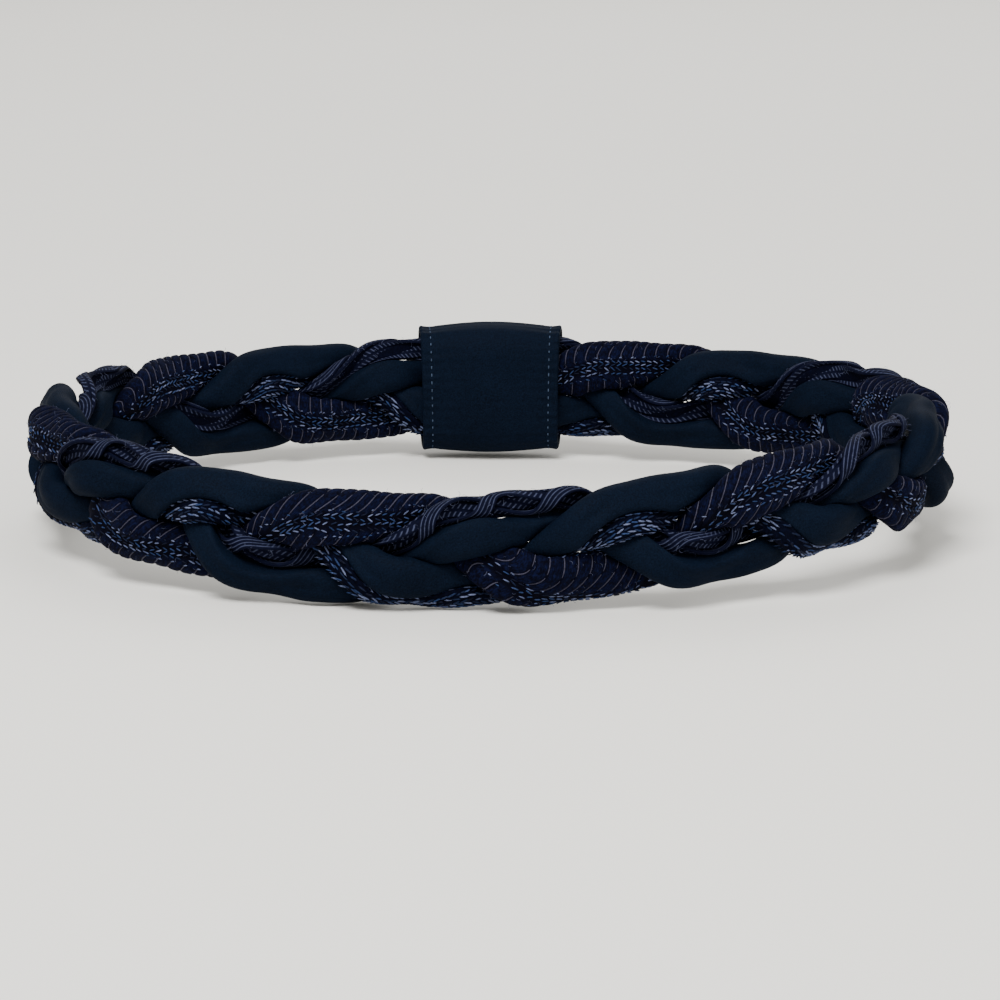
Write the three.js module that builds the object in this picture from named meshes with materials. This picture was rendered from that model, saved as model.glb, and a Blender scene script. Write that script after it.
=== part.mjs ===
// Braided wrap belt: a flat plait of three strands round an open waist, closed by a plain sleeve at
// the middle of the back. Millimetres, +Z up, front towards -Y, origin on the axis of the waist.
import * as THREE from "three";

// The waist opening inside the plait, seen from above
const waistWidth = 233;
const waistDepth = 177;
const waistRoundness = 2.35;

// The five cords: height up the belt, depth out from the waist
const satinUpperHeight = 8.8;
const satinUpperDepth = 7.8;
const knitDiameter = 4.4;
const ropeHeight = 13.8;
const ropeDepth = 8.0;
const miniHeight = 7.0;
const miniDepth = 4.8;
const satinLowerHeight = 8.4;
const satinLowerDepth = 7.8;
const cordGap = 0.4;

// The plait: one period brings each strand back to the top edge
const plaitPeriod = 116;
const stationsPerPeriod = 21;

// How each strand swings over one period, as waves per period with their shares of the mean bundle
// height (up) and of the mean bundle depth (out)
const swingWaves = [
  { waves: 1, heightShare: 0.69, depthShare: 0 },
  { waves: 2, heightShare: 0, depthShare: -0.456 },
  { waves: 3, heightShare: -0.1, depthShare: 0 },
  { waves: 4, heightShare: 0, depthShare: 0.076 },
];

// A bundle rolls a little about its own line once a period, in radians, and each strand rolls by its
// own amount three times a period
const slowRoll = 0.18;

// Where the strands come to the top edge along the front, as shares of the period from the front centre
// towards +X. Past the table the crests keep one third of the period between them.
const crests = [
  { strand: "small plait", share: -0.905 },
  { strand: "upper satin", share: -0.595 },
  { strand: "rope", share: -0.276 },
  { strand: "small plait", share: 0.06 },
  { strand: "upper satin", share: 0.418 },
  { strand: "rope", share: 0.733 },
  { strand: "small plait", share: 1.06 },
  { strand: "upper satin", share: 1.379 },
];
const firstCrestThird = -1;

// The height of the belt's middle line round the waist, as waves per round with shares of its rise
const lineRise = 3;
const heightWaves = [
  { waves: 1, cosineShare: -0.3, sineShare: 0.5 },
  { waves: 2, cosineShare: -0.983, sineShare: 0.267 },
  { waves: 3, cosineShare: -0.7, sineShare: 0.133 },
];

// The sleeve that holds the cord ends at the middle of the back
const sleeveLength = 44;
const sleeveWall = 1.6;
const sleeveClearance = 0.3;
const sleeveSocket = 13;
const sleeveRoundness = 3;
const sleeveEdge = 1.2;
const sleeveSides = 24;
const endClearance = 0.4;

// Bundles and members

const strandBundles = [
  {
    third: 0,
    quickRoll: -0.67,
    members: [
      { name: "satin_tube_upper", height: satinUpperHeight, depth: satinUpperDepth, sides: 10 },
      { name: "knit_cord", height: knitDiameter, depth: knitDiameter, sides: 6 },
    ],
  },
  {
    third: 1,
    quickRoll: -0.5,
    members: [{ name: "rope_braid", height: ropeHeight, depth: ropeDepth, sides: 10 }],
  },
  {
    third: 2,
    quickRoll: -0.55,
    members: [
      { name: "mini_plait", height: miniHeight, depth: miniDepth, sides: 8 },
      { name: "satin_tube_lower", height: satinLowerHeight, depth: satinLowerDepth, sides: 10 },
    ],
  },
];

const bundleHeight = (bundle) =>
  bundle.members.reduce((sum, member) => sum + member.height + cordGap, -cordGap);
const bundleDepth = (bundle) => Math.max(...bundle.members.map((member) => member.depth));
const meanOf = (values) => values.reduce((sum, value) => sum + value, 0) / values.length;
const meanHeight = meanOf(strandBundles.map(bundleHeight));
const meanDepth = meanOf(strandBundles.map(bundleDepth));

// Members of a bundle stack from the top down
const members = strandBundles.flatMap((bundle) => {
  let top = bundleHeight(bundle) / 2;
  return bundle.members.map((member) => {
    const offset = top - member.height / 2;
    top -= member.height + cordGap;
    return { ...member, third: bundle.third, quickRoll: bundle.quickRoll, offset };
  });
});

const swingUp = (phase) =>
  swingWaves.reduce((sum, w) => sum + w.heightShare * Math.cos(w.waves * phase), 0) * meanHeight;
const swingOut = (phase) =>
  swingWaves.reduce((sum, w) => sum + w.depthShare * Math.sin(w.waves * phase), 0) * meanDepth;

// One member at a phase counted in thirds of a period: its centre, up and out, and its roll
function memberCentre(member, thirds) {
  const phase = ((thirds - member.third) / 3) * 2 * Math.PI;
  const turn = slowRoll * Math.sin(phase) + member.quickRoll * Math.sin(3 * phase);
  return {
    up: swingUp(phase) + member.offset * Math.cos(turn),
    out: swingOut(phase) - member.offset * Math.sin(turn),
    turn,
  };
}

// Half the size of the whole plait, over every member and phase of one period
const periodSteps = Array.from({ length: 91 }, (_, i) => i / 30);
const furthest = (reach) => Math.max(...members.flatMap((m) => periodSteps.map((t) => reach(m, t))));
const plaitHalfHeight = furthest((m, t) => Math.abs(memberCentre(m, t).up) + m.height / 2);
const plaitHalfDepth = furthest((m, t) => Math.abs(memberCentre(m, t).out) + m.depth / 2);

// The closed middle line of the belt; the parameter starts at the middle of the back and passes the
// front at one half
class WaistLoop extends THREE.Curve {
  getPoint(t) {
    const azimuth = (t - 0.5) * 2 * Math.PI;
    const halfWidth = waistWidth / 2 + plaitHalfDepth;
    const halfDepth = waistDepth / 2 + plaitHalfDepth;
    const across = Math.abs(Math.sin(azimuth)) / halfWidth;
    const along = Math.abs(Math.cos(azimuth)) / halfDepth;
    const radius = (across ** waistRoundness + along ** waistRoundness) ** (-1 / waistRoundness);
    const rise = heightWaves.reduce(
      (sum, w) =>
        sum + w.cosineShare * Math.cos(w.waves * azimuth) + w.sineShare * Math.sin(w.waves * azimuth),
      0,
    );
    return new THREE.Vector3(radius * Math.sin(azimuth), -radius * Math.cos(azimuth), lineRise * rise);
  }
}

const loop = new WaistLoop();
loop.arcLengthDivisions = 1440;
const loopLength = loop.getLength();

// The cross frame of the belt at a distance from the front centre: a point, up and out
function frameAt(distance) {
  const u = 0.5 + distance / loopLength;
  const share = u - Math.floor(u);
  const point = loop.getPointAt(share);
  const step = 1 / loopLength;
  const behind = loop.getPointAt((share - step + 1) % 1);
  const ahead = loop.getPointAt((share + step) % 1);
  const along = ahead.sub(behind).normalize();
  const out = new THREE.Vector3(along.y, -along.x, 0).normalize();
  const up = new THREE.Vector3().crossVectors(out, along);
  return { point, up, out };
}

const placed = (frame, up, out) =>
  frame.point.clone().addScaledVector(frame.up, up).addScaledVector(frame.out, out);

// Distance of a crest, counted in thirds of a period from the first crest of the upper satin
function crestDistance(third) {
  const row = third - firstCrestThird;
  const last = crests.length - 1;
  const nearest = Math.min(Math.max(row, 0), last);
  return plaitPeriod * (crests[nearest].share + (row - nearest) / 3);
}

// Distance along the belt at a phase counted in thirds of a period, smooth through the crests
function distanceAt(thirds) {
  const first = Math.floor(thirds);
  const t = thirds - first;
  const [a, b, c, d] = [-1, 0, 1, 2].map((i) => crestDistance(first + i));
  return (
    0.5 *
    (2 * b + (c - a) * t + (2 * a - 5 * b + 4 * c - d) * t ** 2 + (3 * b - a - 3 * c + d) * t ** 3)
  );
}

function thirdsAt(distance) {
  let low = (distance - 2 * plaitPeriod) / (plaitPeriod / 3);
  let high = (distance + 2 * plaitPeriod) / (plaitPeriod / 3);
  for (let i = 0; i < 50; i += 1) {
    const middle = (low + high) / 2;
    if (distanceAt(middle) < distance) low = middle;
    else high = middle;
  }
  return (low + high) / 2;
}

// The outline of a cord in the cross plane as the matrix M of x'Mx = 1: an ellipse turned by the
// roll and lengthened where the cord runs aslant
function outlineOf(member, thirds) {
  const small = 0.01;
  const here = memberCentre(member, thirds);
  const next = memberCentre(member, thirds + small);
  const run = distanceAt(thirds + small) - distanceAt(thirds);
  const slopeUp = (next.up - here.up) / run;
  const slopeOut = (next.out - here.out) / run;
  const slant = 1 + slopeUp ** 2 + slopeOut ** 2;
  const c = Math.cos(here.turn);
  const s = Math.sin(here.turn);
  const p = 2 / member.height;
  const q = 2 / member.depth;
  const root = [p * c * c + q * s * s, (q - p) * s * c, p * s * s + q * c * c];
  const flat = [1 - slopeUp ** 2 / slant, (-slopeUp * slopeOut) / slant, 1 - slopeOut ** 2 / slant];
  const [r0, r1, r2] = root;
  const [f0, f1, f2] = flat;
  const half = [r0 * f0 + r1 * f1, r0 * f1 + r1 * f2, r1 * f0 + r2 * f1, r1 * f1 + r2 * f2];
  const matrix = [
    half[0] * r0 + half[1] * r1,
    half[0] * r1 + half[1] * r2,
    half[2] * r1 + half[3] * r2,
  ];
  return { up: here.up, out: here.out, matrix };
}

const pull = (m, x, y) => [m[0] * x + m[1] * y, m[1] * x + m[2] * y];
const unit = ([x, y]) => [x / Math.hypot(x, y), y / Math.hypot(x, y)];

// How far an outline reaches along a unit direction
function reachOf([a, b, d], [x, y]) {
  return Math.sqrt((d * x * x - 2 * b * x * y + a * y * y) / (a * d - b * b));
}

// The flat that two pressed cords share: its direction from this cord and its distance
function flatBetween(cord, other) {
  const x = other.up - cord.up;
  const y = other.out - cord.out;
  const mine = unit(pull(cord.matrix, x, y));
  const theirs = unit(pull(other.matrix, x, y));
  const normal = unit([mine[0] + theirs[0], mine[1] + theirs[1]]);
  const mineReach = reachOf(cord.matrix, normal);
  const otherReach = reachOf(other.matrix, normal);
  const between = x * normal[0] + y * normal[1];
  return { normal, distance: ((between - cordGap) * mineReach) / (mineReach + otherReach) };
}

// Pressed cords stay round between their flats; a higher power leaves sharper corners
const pressPower = 8;
const leastPress = 0.3;

// The flats that press one cord at a phase, each seen from the cord's own centre
function flatsOn(member, thirds) {
  const cord = outlineOf(member, thirds);
  return members
    .filter((other) => other.name !== member.name)
    .map((other) => flatBetween(cord, outlineOf(other, thirds)));
}

// The outline of one cord at a phase, squeezed by its neighbours there and half a step to each side,
// as points up and out in the cross plane
function cordSection(member, thirds, halfStep) {
  const cord = outlineOf(member, thirds);
  const flats = [-halfStep, 0, halfStep].flatMap((offset) => flatsOn(member, thirds + offset));
  return Array.from({ length: member.sides }, (_, i) => {
    const angle = (i / member.sides) * 2 * Math.PI;
    const x = Math.cos(angle);
    const y = Math.sin(angle);
    const [px, py] = pull(cord.matrix, x, y);
    const pressed = flats.reduce((most, flat) => {
      const towards = x * flat.normal[0] + y * flat.normal[1];
      return Math.max(most, towards / Math.max(flat.distance, leastPress));
    }, 0);
    const free = Math.sqrt(x * px + y * py);
    const radius = (free ** pressPower + pressed ** pressPower) ** (-1 / pressPower);
    return [cord.up + radius * x, cord.out + radius * y];
  });
}

// A closed skin through rings of equal size, with a flat fan over the first and the last one
function skinOf(rings) {
  const sides = rings[0].length;
  const middle = (ring) =>
    ring.reduce((sum, p) => sum.add(p), new THREE.Vector3()).divideScalar(sides);
  const points = [...rings.flat(), middle(rings[0]), middle(rings[rings.length - 1])];
  const startFan = rings.length * sides;
  const endFan = startFan + 1;
  const index = [];
  for (let j = 0; j < sides; j += 1) {
    const k = (j + 1) % sides;
    const lastRow = (rings.length - 1) * sides;
    index.push(startFan, k, j, endFan, lastRow + j, lastRow + k);
    for (let row = 0; row < lastRow; row += sides) {
      index.push(row + j, row + k, row + sides + k);
      index.push(row + j, row + sides + k, row + sides + j);
    }
  }
  const geometry = new THREE.BufferGeometry().setFromPoints(points);
  geometry.setIndex(index);
  geometry.computeVertexNormals();
  return geometry;
}

// The cords run from one socket floor of the sleeve round the front to the other
const cordEnd = loopLength / 2 - (sleeveLength / 2 - sleeveSocket) - endClearance;

function cordStations() {
  const first = thirdsAt(-cordEnd);
  const last = thirdsAt(cordEnd);
  const count = Math.round(((last - first) / 3) * stationsPerPeriod);
  return Array.from({ length: count + 1 }, (_, i) => first + ((last - first) * i) / count);
}

function cordGeometry(member, stations) {
  const halfStep = (stations[1] - stations[0]) / 2;
  return skinOf(
    stations.map((thirds) => {
      const frame = frameAt(distanceAt(thirds));
      return cordSection(member, thirds, halfStep).map(([up, out]) => placed(frame, up, out));
    }),
  );
}

// How far the cords reach over one period, as a share of the oval through the plait's half sizes
const ovalReach = Math.max(
  ...members.flatMap((m) => periodSteps.flatMap((t) => cordSection(m, t, 0))).map(([up, out]) =>
    Math.hypot(
      (Math.abs(up) / plaitHalfHeight) ** (sleeveRoundness / 2),
      (Math.abs(out) / plaitHalfDepth) ** (sleeveRoundness / 2),
    ) ** (2 / sleeveRoundness),
  ),
);

// An oval ring of the sleeve at a distance from the middle of the back
function sleeveRing(fromBack, halfHeight, halfDepth) {
  const frame = frameAt(loopLength / 2 + fromBack);
  return Array.from({ length: sleeveSides }, (_, i) => {
    const angle = (i / sleeveSides) * 2 * Math.PI;
    const c = Math.cos(angle);
    const s = Math.sin(angle);
    const up = Math.sign(c) * Math.abs(c) ** (2 / sleeveRoundness) * halfHeight;
    const out = Math.sign(s) * Math.abs(s) ** (2 / sleeveRoundness) * halfDepth;
    return placed(frame, up, out);
  });
}

// The sleeve is one skin: socket floor, socket wall, mouth, outside, and the same again
function sleeveGeometry() {
  const half = sleeveLength / 2;
  const boreUp = plaitHalfHeight * ovalReach + sleeveClearance;
  const boreOut = plaitHalfDepth * ovalReach + sleeveClearance;
  const outerUp = boreUp + sleeveWall;
  const outerOut = boreOut + sleeveWall;
  const bore = (at) => sleeveRing(at, boreUp, boreOut);
  const outside = (at) => sleeveRing(at, outerUp, outerOut);
  const mouth = (at) => sleeveRing(at, boreUp + sleeveWall / 2, boreOut + sleeveWall / 2);
  const floor = half - sleeveSocket;
  return skinOf([
    bore(-floor),
    bore(-(floor + half) / 2),
    bore(-half),
    mouth(-half),
    outside(-half + sleeveEdge),
    outside(-half / 2),
    outside(0),
    outside(half / 2),
    outside(half - sleeveEdge),
    mouth(half),
    bore(half),
    bore((floor + half) / 2),
    bore(floor),
  ]);
}

const satin = new THREE.MeshStandardMaterial({ color: 0x26384d, roughness: 0.62, metalness: 0 });
const knit = new THREE.MeshStandardMaterial({ color: 0x3a4468, roughness: 0.9, metalness: 0 });
const rope = new THREE.MeshStandardMaterial({ color: 0x262f52, roughness: 0.88, metalness: 0 });
const pinstripe = new THREE.MeshStandardMaterial({ color: 0x33406a, roughness: 0.85, metalness: 0 });
const sleeveSatin = new THREE.MeshStandardMaterial({ color: 0x1d2b3d, roughness: 0.66, metalness: 0 });

const cordMaterials = {
  satin_tube_upper: satin,
  knit_cord: knit,
  rope_braid: rope,
  mini_plait: pinstripe,
  satin_tube_lower: satin,
};

const belt = new THREE.Group();
belt.name = "braided_wrap_belt";

const stations = cordStations();
for (const member of members) {
  const cord = new THREE.Mesh(cordGeometry(member, stations), cordMaterials[member.name]);
  cord.name = member.name;
  belt.add(cord);
}

const backClasp = new THREE.Mesh(sleeveGeometry(), sleeveSatin);
backClasp.name = "back_clasp";
belt.add(backClasp);

export default belt;
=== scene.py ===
"""Braided wrap belt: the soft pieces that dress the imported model, with a plain stage.

Five cords are plaited flat round an open waist and end in a satin sleeve at the middle of the back. The
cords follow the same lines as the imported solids. Lengths are in metres, +Z is up, the front is towards -Y.
"""

import math

import bpy
import numpy as np
from mathutils import Euler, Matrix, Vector


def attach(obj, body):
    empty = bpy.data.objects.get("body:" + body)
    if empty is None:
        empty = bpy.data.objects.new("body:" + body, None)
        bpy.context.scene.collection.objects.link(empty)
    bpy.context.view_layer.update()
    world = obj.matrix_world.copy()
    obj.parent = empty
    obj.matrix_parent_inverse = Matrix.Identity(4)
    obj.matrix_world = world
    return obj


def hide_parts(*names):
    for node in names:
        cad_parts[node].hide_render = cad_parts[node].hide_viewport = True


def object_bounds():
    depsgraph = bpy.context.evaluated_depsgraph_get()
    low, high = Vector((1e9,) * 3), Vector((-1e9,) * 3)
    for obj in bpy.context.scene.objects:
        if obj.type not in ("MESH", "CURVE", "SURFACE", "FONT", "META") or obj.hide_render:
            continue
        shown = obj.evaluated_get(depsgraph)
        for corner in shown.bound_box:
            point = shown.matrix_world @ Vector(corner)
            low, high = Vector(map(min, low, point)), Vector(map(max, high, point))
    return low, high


bl_info = {
    "name": "Braided Wrap Belt",
    "version": (1, 0, 0),
    "blender": (4, 5, 0),
    "location": "3D View > Sidebar > Belt",
    "description": "Makes a plaited belt of satin tubes, a rope braid, a small plait and a knitted cord",
    "category": "Add Mesh",
}

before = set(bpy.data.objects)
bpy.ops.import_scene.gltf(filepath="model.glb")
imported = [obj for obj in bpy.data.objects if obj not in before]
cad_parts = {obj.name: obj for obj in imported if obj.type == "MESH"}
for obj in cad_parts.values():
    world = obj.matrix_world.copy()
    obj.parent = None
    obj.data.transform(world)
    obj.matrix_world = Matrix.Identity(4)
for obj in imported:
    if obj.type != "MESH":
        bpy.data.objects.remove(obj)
cad_low, cad_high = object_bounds()

# The line of the belt and the lie of its cords, as in the part's source
WAIST_WIDTH = 0.233
WAIST_DEPTH = 0.177
WAIST_ROUNDNESS = 2.35
CORD_GAP = 0.0004
PLAIT_PERIOD = 0.116
SLOW_ROLL = 0.18

# The third of the period at which each bundle starts, its quick roll, and its cords from the top down
BUNDLES = (
    (0, -0.67, (("satin_tube_upper", 0.0088, 0.0078), ("knit_cord", 0.0044, 0.0044))),
    (1, -0.50, (("rope_braid", 0.0138, 0.0080),)),
    (2, -0.55, (("mini_plait", 0.0070, 0.0048), ("satin_tube_lower", 0.0084, 0.0078))),
)

# Waves per period with their shares of the mean bundle height (up) and depth (out)
SWING_WAVES = ((1, 0.69, 0.0), (2, 0.0, -0.456), (3, -0.1, 0.0), (4, 0.0, 0.076))

# Where the bundles come to the top edge, as shares of the period from the front centre
CREST_SHARES = (-0.905, -0.595, -0.276, 0.06, 0.418, 0.733, 1.06, 1.379)
FIRST_CREST_THIRD = -1

# Waves per round with their cosine and sine heights
HEIGHT_WAVES = ((1, -0.0009, 0.0015), (2, -0.00295, 0.0008), (3, -0.0021, 0.0004))

SLEEVE_LENGTH = 0.044
SLEEVE_SOCKET = 0.013
SLEEVE_WALL = 0.0016
SLEEVE_CLEARANCE = 0.0003
SLEEVE_ROUNDNESS = 3
OVAL_REACH = 1.05
END_CLEARANCE = 0.0004

# Cloth fills the gaps that the solids keep: a little fuller where free, more so towards the middle of the
# belt and towards the other cord of the bundle, and flat where two cords meet. The inner fullness is whole
# from INNER_SPAN of the mean height away from the middle
FULLER = 0.00045
INNER_FULLNESS = 0.0024
INNER_SPAN = 0.4
MATE_FULLNESS = 0.0015
PRESS_GAP = 0.00005
PRESS_POWER = 12
LEAST_PRESS = 0.0003


def bundle_height(cords):
    """Height of a bundle's cords with the gaps between them."""
    return sum(height for _, height, _ in cords) + CORD_GAP * (len(cords) - 1)


MEAN_HEIGHT = sum(bundle_height(cords) for _, _, cords in BUNDLES) / len(BUNDLES)
MEAN_DEPTH = sum(max(depth for _, _, depth in cords) for _, _, cords in BUNDLES) / len(BUNDLES)


class Cord:
    """One cord of a bundle: its size, and where it lies in the bundle."""

    def __init__(self, name, height, depth, third, quick_roll, offset):
        self.name = name
        self.height = height
        self.depth = depth
        self.third = third
        self.quick_roll = quick_roll
        self.offset = offset


def cords_in_bundles():
    """All cords by name, each at its place in its bundle."""
    cords = {}
    for third, quick_roll, rows in BUNDLES:
        top = bundle_height(rows) / 2
        for name, height, depth in rows:
            cords[name] = Cord(name, height, depth, third, quick_roll, top - height / 2)
            top -= height + CORD_GAP
    return cords


CORDS = cords_in_bundles()


def cord_centre(cord, thirds):
    """Up, out and roll of a cord at phases counted in thirds of a period."""
    phase = (thirds - cord.third) / 3 * 2 * np.pi
    turn = SLOW_ROLL * np.sin(phase) + cord.quick_roll * np.sin(3 * phase)
    up = MEAN_HEIGHT * sum(share * np.cos(waves * phase) for waves, share, _ in SWING_WAVES)
    out = MEAN_DEPTH * sum(share * np.sin(waves * phase) for waves, _, share in SWING_WAVES)
    return up + cord.offset * np.cos(turn), out - cord.offset * np.sin(turn), turn


PERIOD_STEPS = np.linspace(0, 3, 91)
PLAIT_HALF_HEIGHT = max(
    np.abs(cord_centre(c, PERIOD_STEPS)[0]).max() + c.height / 2 for c in CORDS.values()
)
PLAIT_HALF_DEPTH = max(
    np.abs(cord_centre(c, PERIOD_STEPS)[1]).max() + c.depth / 2 for c in CORDS.values()
)


def loop_point(azimuth):
    """The middle line of the belt at angles round the waist from the front."""
    half_width = WAIST_WIDTH / 2 + PLAIT_HALF_DEPTH
    half_depth = WAIST_DEPTH / 2 + PLAIT_HALF_DEPTH
    across = (np.abs(np.sin(azimuth)) / half_width) ** WAIST_ROUNDNESS
    along = (np.abs(np.cos(azimuth)) / half_depth) ** WAIST_ROUNDNESS
    radius = (across + along) ** (-1 / WAIST_ROUNDNESS)
    height = sum(c * np.cos(n * azimuth) + s * np.sin(n * azimuth) for n, c, s in HEIGHT_WAVES)
    return np.stack([radius * np.sin(azimuth), -radius * np.cos(azimuth), height], -1)


LOOP_AZIMUTHS = np.linspace(-np.pi, np.pi, 5761)
LOOP_STEPS = np.linalg.norm(np.diff(loop_point(LOOP_AZIMUTHS), axis=0), axis=1)
LOOP_LENGTHS = np.concatenate([[0.0], np.cumsum(LOOP_STEPS)])
LOOP_LENGTH = LOOP_LENGTHS[-1]


def point_at(distance):
    """The middle line at distances from the front centre, towards +X."""
    length = (distance + LOOP_LENGTH / 2) % LOOP_LENGTH
    return loop_point(np.interp(length, LOOP_LENGTHS, LOOP_AZIMUTHS))


def unit(vectors):
    """The vectors at length one."""
    return vectors / np.linalg.norm(vectors, axis=-1, keepdims=True)


def placed(distance, up, out):
    """Points at heights up and distances out from the middle line of the belt."""
    step = 0.001
    along = unit(point_at(distance + step) - point_at(distance - step))
    level = np.zeros_like(along[..., 0])
    outward = unit(np.stack([along[..., 1], -along[..., 0], level], -1))
    upward = np.cross(outward, along)
    return point_at(distance) + upward * up[..., None] + outward * out[..., None]


def crest_distance(third):
    """Distance along the belt of a crest, evenly spaced beyond the listed ones."""
    row = third - FIRST_CREST_THIRD
    inside = np.clip(row, 0, len(CREST_SHARES) - 1).astype(int)
    share = np.array(CREST_SHARES)[inside] + (row - inside) / 3
    return share * PLAIT_PERIOD


def distance_at(thirds):
    """Distances along the belt at phases counted in thirds, smooth through the crests."""
    first = np.floor(thirds)
    t = thirds - first
    a, b, c, d = (crest_distance(first + i) for i in (-1, 0, 1, 2))
    square = (2 * a - 5 * b + 4 * c - d) * t**2
    cube = (3 * b - a - 3 * c + d) * t**3
    return 0.5 * (2 * b + (c - a) * t + square + cube)


THIRDS_TABLE = np.linspace(-14, 16, 12001)
DISTANCE_TABLE = distance_at(THIRDS_TABLE)


def thirds_at(distance):
    """Phases counted in thirds at distances along the belt."""
    return np.interp(distance, DISTANCE_TABLE, THIRDS_TABLE)


SLEEVE_BORE_UP = PLAIT_HALF_HEIGHT * OVAL_REACH + SLEEVE_CLEARANCE
SLEEVE_BORE_OUT = PLAIT_HALF_DEPTH * OVAL_REACH + SLEEVE_CLEARANCE
CORD_END = LOOP_LENGTH / 2 - (SLEEVE_LENGTH / 2 - SLEEVE_SOCKET) - END_CLEARANCE


def outline_of(cord, thirds):
    """Centres and outline matrices of a cord across the belt: ellipses lengthened where it runs aslant."""
    small = 0.01
    up, out, turn = cord_centre(cord, thirds)
    next_up, next_out, _ = cord_centre(cord, thirds + small)
    run = distance_at(thirds + small) - distance_at(thirds)
    slope = np.stack([(next_up - up) / run, (next_out - out) / run], -1)
    slant = 1 + (slope**2).sum(-1)
    c = np.cos(turn)
    s = np.sin(turn)
    p = 2 / (cord.height + 2 * FULLER)
    q = 2 / (cord.depth + 2 * FULLER)
    root = np.stack([p * c * c + q * s * s, (q - p) * s * c, (q - p) * s * c, p * s * s + q * c * c], -1)
    root = root.reshape(*root.shape[:-1], 2, 2)
    flat = np.eye(2) - slope[..., :, None] * slope[..., None, :] / slant[..., None, None]
    return np.stack([up, out], -1), root @ flat @ root


def flat_between(mine, other):
    """The flat that two pressed cords share: its direction from the first cord and its distance."""
    between = (other[0] - mine[0])[..., None]
    pulled = unit((mine[1] @ between)[..., 0]) + unit((other[1] @ between)[..., 0])
    normal = unit(pulled)
    reach = []
    for _, matrix in (mine, other):
        across = (np.linalg.inv(matrix) @ normal[..., None])[..., 0]
        reach.append(np.sqrt((normal * across).sum(-1)))
    distance = (between[..., 0] * normal).sum(-1) - PRESS_GAP
    return normal, distance * reach[0] / (reach[0] + reach[1])


def reach_at(cord, thirds, angle, swell=1.0):
    """How far a cord's skin is from its centre, at angles in the cross plane from up towards out."""
    mine = outline_of(cord, thirds)
    direction = np.stack([np.cos(angle), np.sin(angle)], -1)
    free = np.sqrt((direction * (mine[1] @ direction[..., None])[..., 0]).sum(-1)) / swell
    inward = np.clip(-direction[..., 0] * mine[0][..., 0] / (INNER_SPAN * MEAN_HEIGHT), 0, 1)
    towards_mate = np.clip(-np.cos(angle + cord_centre(cord, thirds)[2]) * np.sign(cord.offset), 0, 1)
    extra = (INNER_FULLNESS - cord.height / 10) * inward + MATE_FULLNESS * towards_mate
    free = free / (1 + extra * free)
    pressed = np.zeros_like(free)
    for other in CORDS.values():
        if other is cord:
            continue
        normal, distance = flat_between(mine, outline_of(other, thirds))
        towards = (direction * normal).sum(-1) / np.maximum(distance, LEAST_PRESS)
        pressed = np.maximum(pressed, towards)
    return (free**PRESS_POWER + pressed**PRESS_POWER) ** (-1 / PRESS_POWER)


def skin_at(cord, distance, own_angle, lift=0.0):
    """Points on a cord's skin; the angle goes from the cord's own top towards its own outward side."""
    distance, own_angle = np.broadcast_arrays(distance, own_angle)
    thirds = thirds_at(distance)
    up, out, turn = cord_centre(cord, thirds)
    angle = own_angle - (rope_turn(distance) if cord.name == "rope_braid" else turn)
    reach = reach_at(cord, thirds, angle) + lift
    return placed(distance, up + reach * np.cos(angle), out + reach * np.sin(angle))


# How the rope's knitted face turns along the front, as distance in metres and degrees towards the top
ROPE_TURNS = (
    (-0.160, 0),
    (-0.115, -14),
    (-0.085, -10),
    (-0.050, -6),
    (-0.024, -2),
    (-0.006, 50),
    (0.004, -4),
    (0.011, -50),
    (0.018, -84),
    (0.036, -84),
    (0.052, -12),
    (0.060, -4),
    (0.075, 4),
    (0.105, 8),
    (0.150, 0),
)


def rope_turn(distance):
    """The turn of the rope's knitted face at distances along the belt, in radians."""
    places, degrees = np.array(ROPE_TURNS).T
    spread = np.linspace(places[0], places[-1], 200)
    window = np.hanning(9)
    smooth = np.convolve(np.interp(spread, places, degrees), window / window.sum(), "same")
    return np.radians(np.interp(distance, spread, smooth, left=0, right=0))


def linear(colour):
    """A six-figure sRGB hex colour as linear red, green, blue and alpha."""
    channels = [int(colour[i : i + 2], 16) / 255 for i in (1, 3, 5)]
    curve = [c / 12.92 if c <= 0.04045 else ((c + 0.055) / 1.055) ** 2.4 for c in channels]
    return (*curve, 1.0)


def add_node(tree, kind, settings=None, values=None, links=None):
    """Adds a node with its settings, its sockets' values and its links; sockets go by name or number."""
    node = tree.nodes.new(kind)
    for name, value in (settings or {}).items():
        setattr(node, name, value)
    for socket, value in (values or {}).items():
        node.inputs[socket].default_value = value
    for socket, source in (links or {}).items():
        tree.links.new(source, node.inputs[socket])
    return node


def new_material(name):
    """An empty material with its node tree."""
    material = bpy.data.materials.new(name)
    material.use_nodes = True
    material.node_tree.nodes.clear()
    return material, material.node_tree


def finish_material(tree, values, links):
    """Ends a material in one surface shader with its constants and links."""
    surface = add_node(tree, "ShaderNodeBsdfPrincipled", None, values, links)
    add_node(tree, "ShaderNodeOutputMaterial", None, None, {"Surface": surface.outputs["BSDF"]})


# Scales of the noises: the larger the number, the finer the pattern
SATIN_CLOUD_SCALE = 70.0
YARN_FIBRE_SCALE = (700.0, 4200.0, 1.0)
YARN_TUFT_SCALE = 900.0
STITCH_WEAR_SCALE = 1500.0
RIBBON_TUFT_SCALE = 700.0
FIBRE_PATCH_SCALE = 300.0
BOARD_MOTTLE_SCALE = 3.0
# Distance between two of the short floats on a ribbon's other face, and their slant across it
FLOAT_PITCH = 0.0014
FLOAT_SLANT = -6.0


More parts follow.
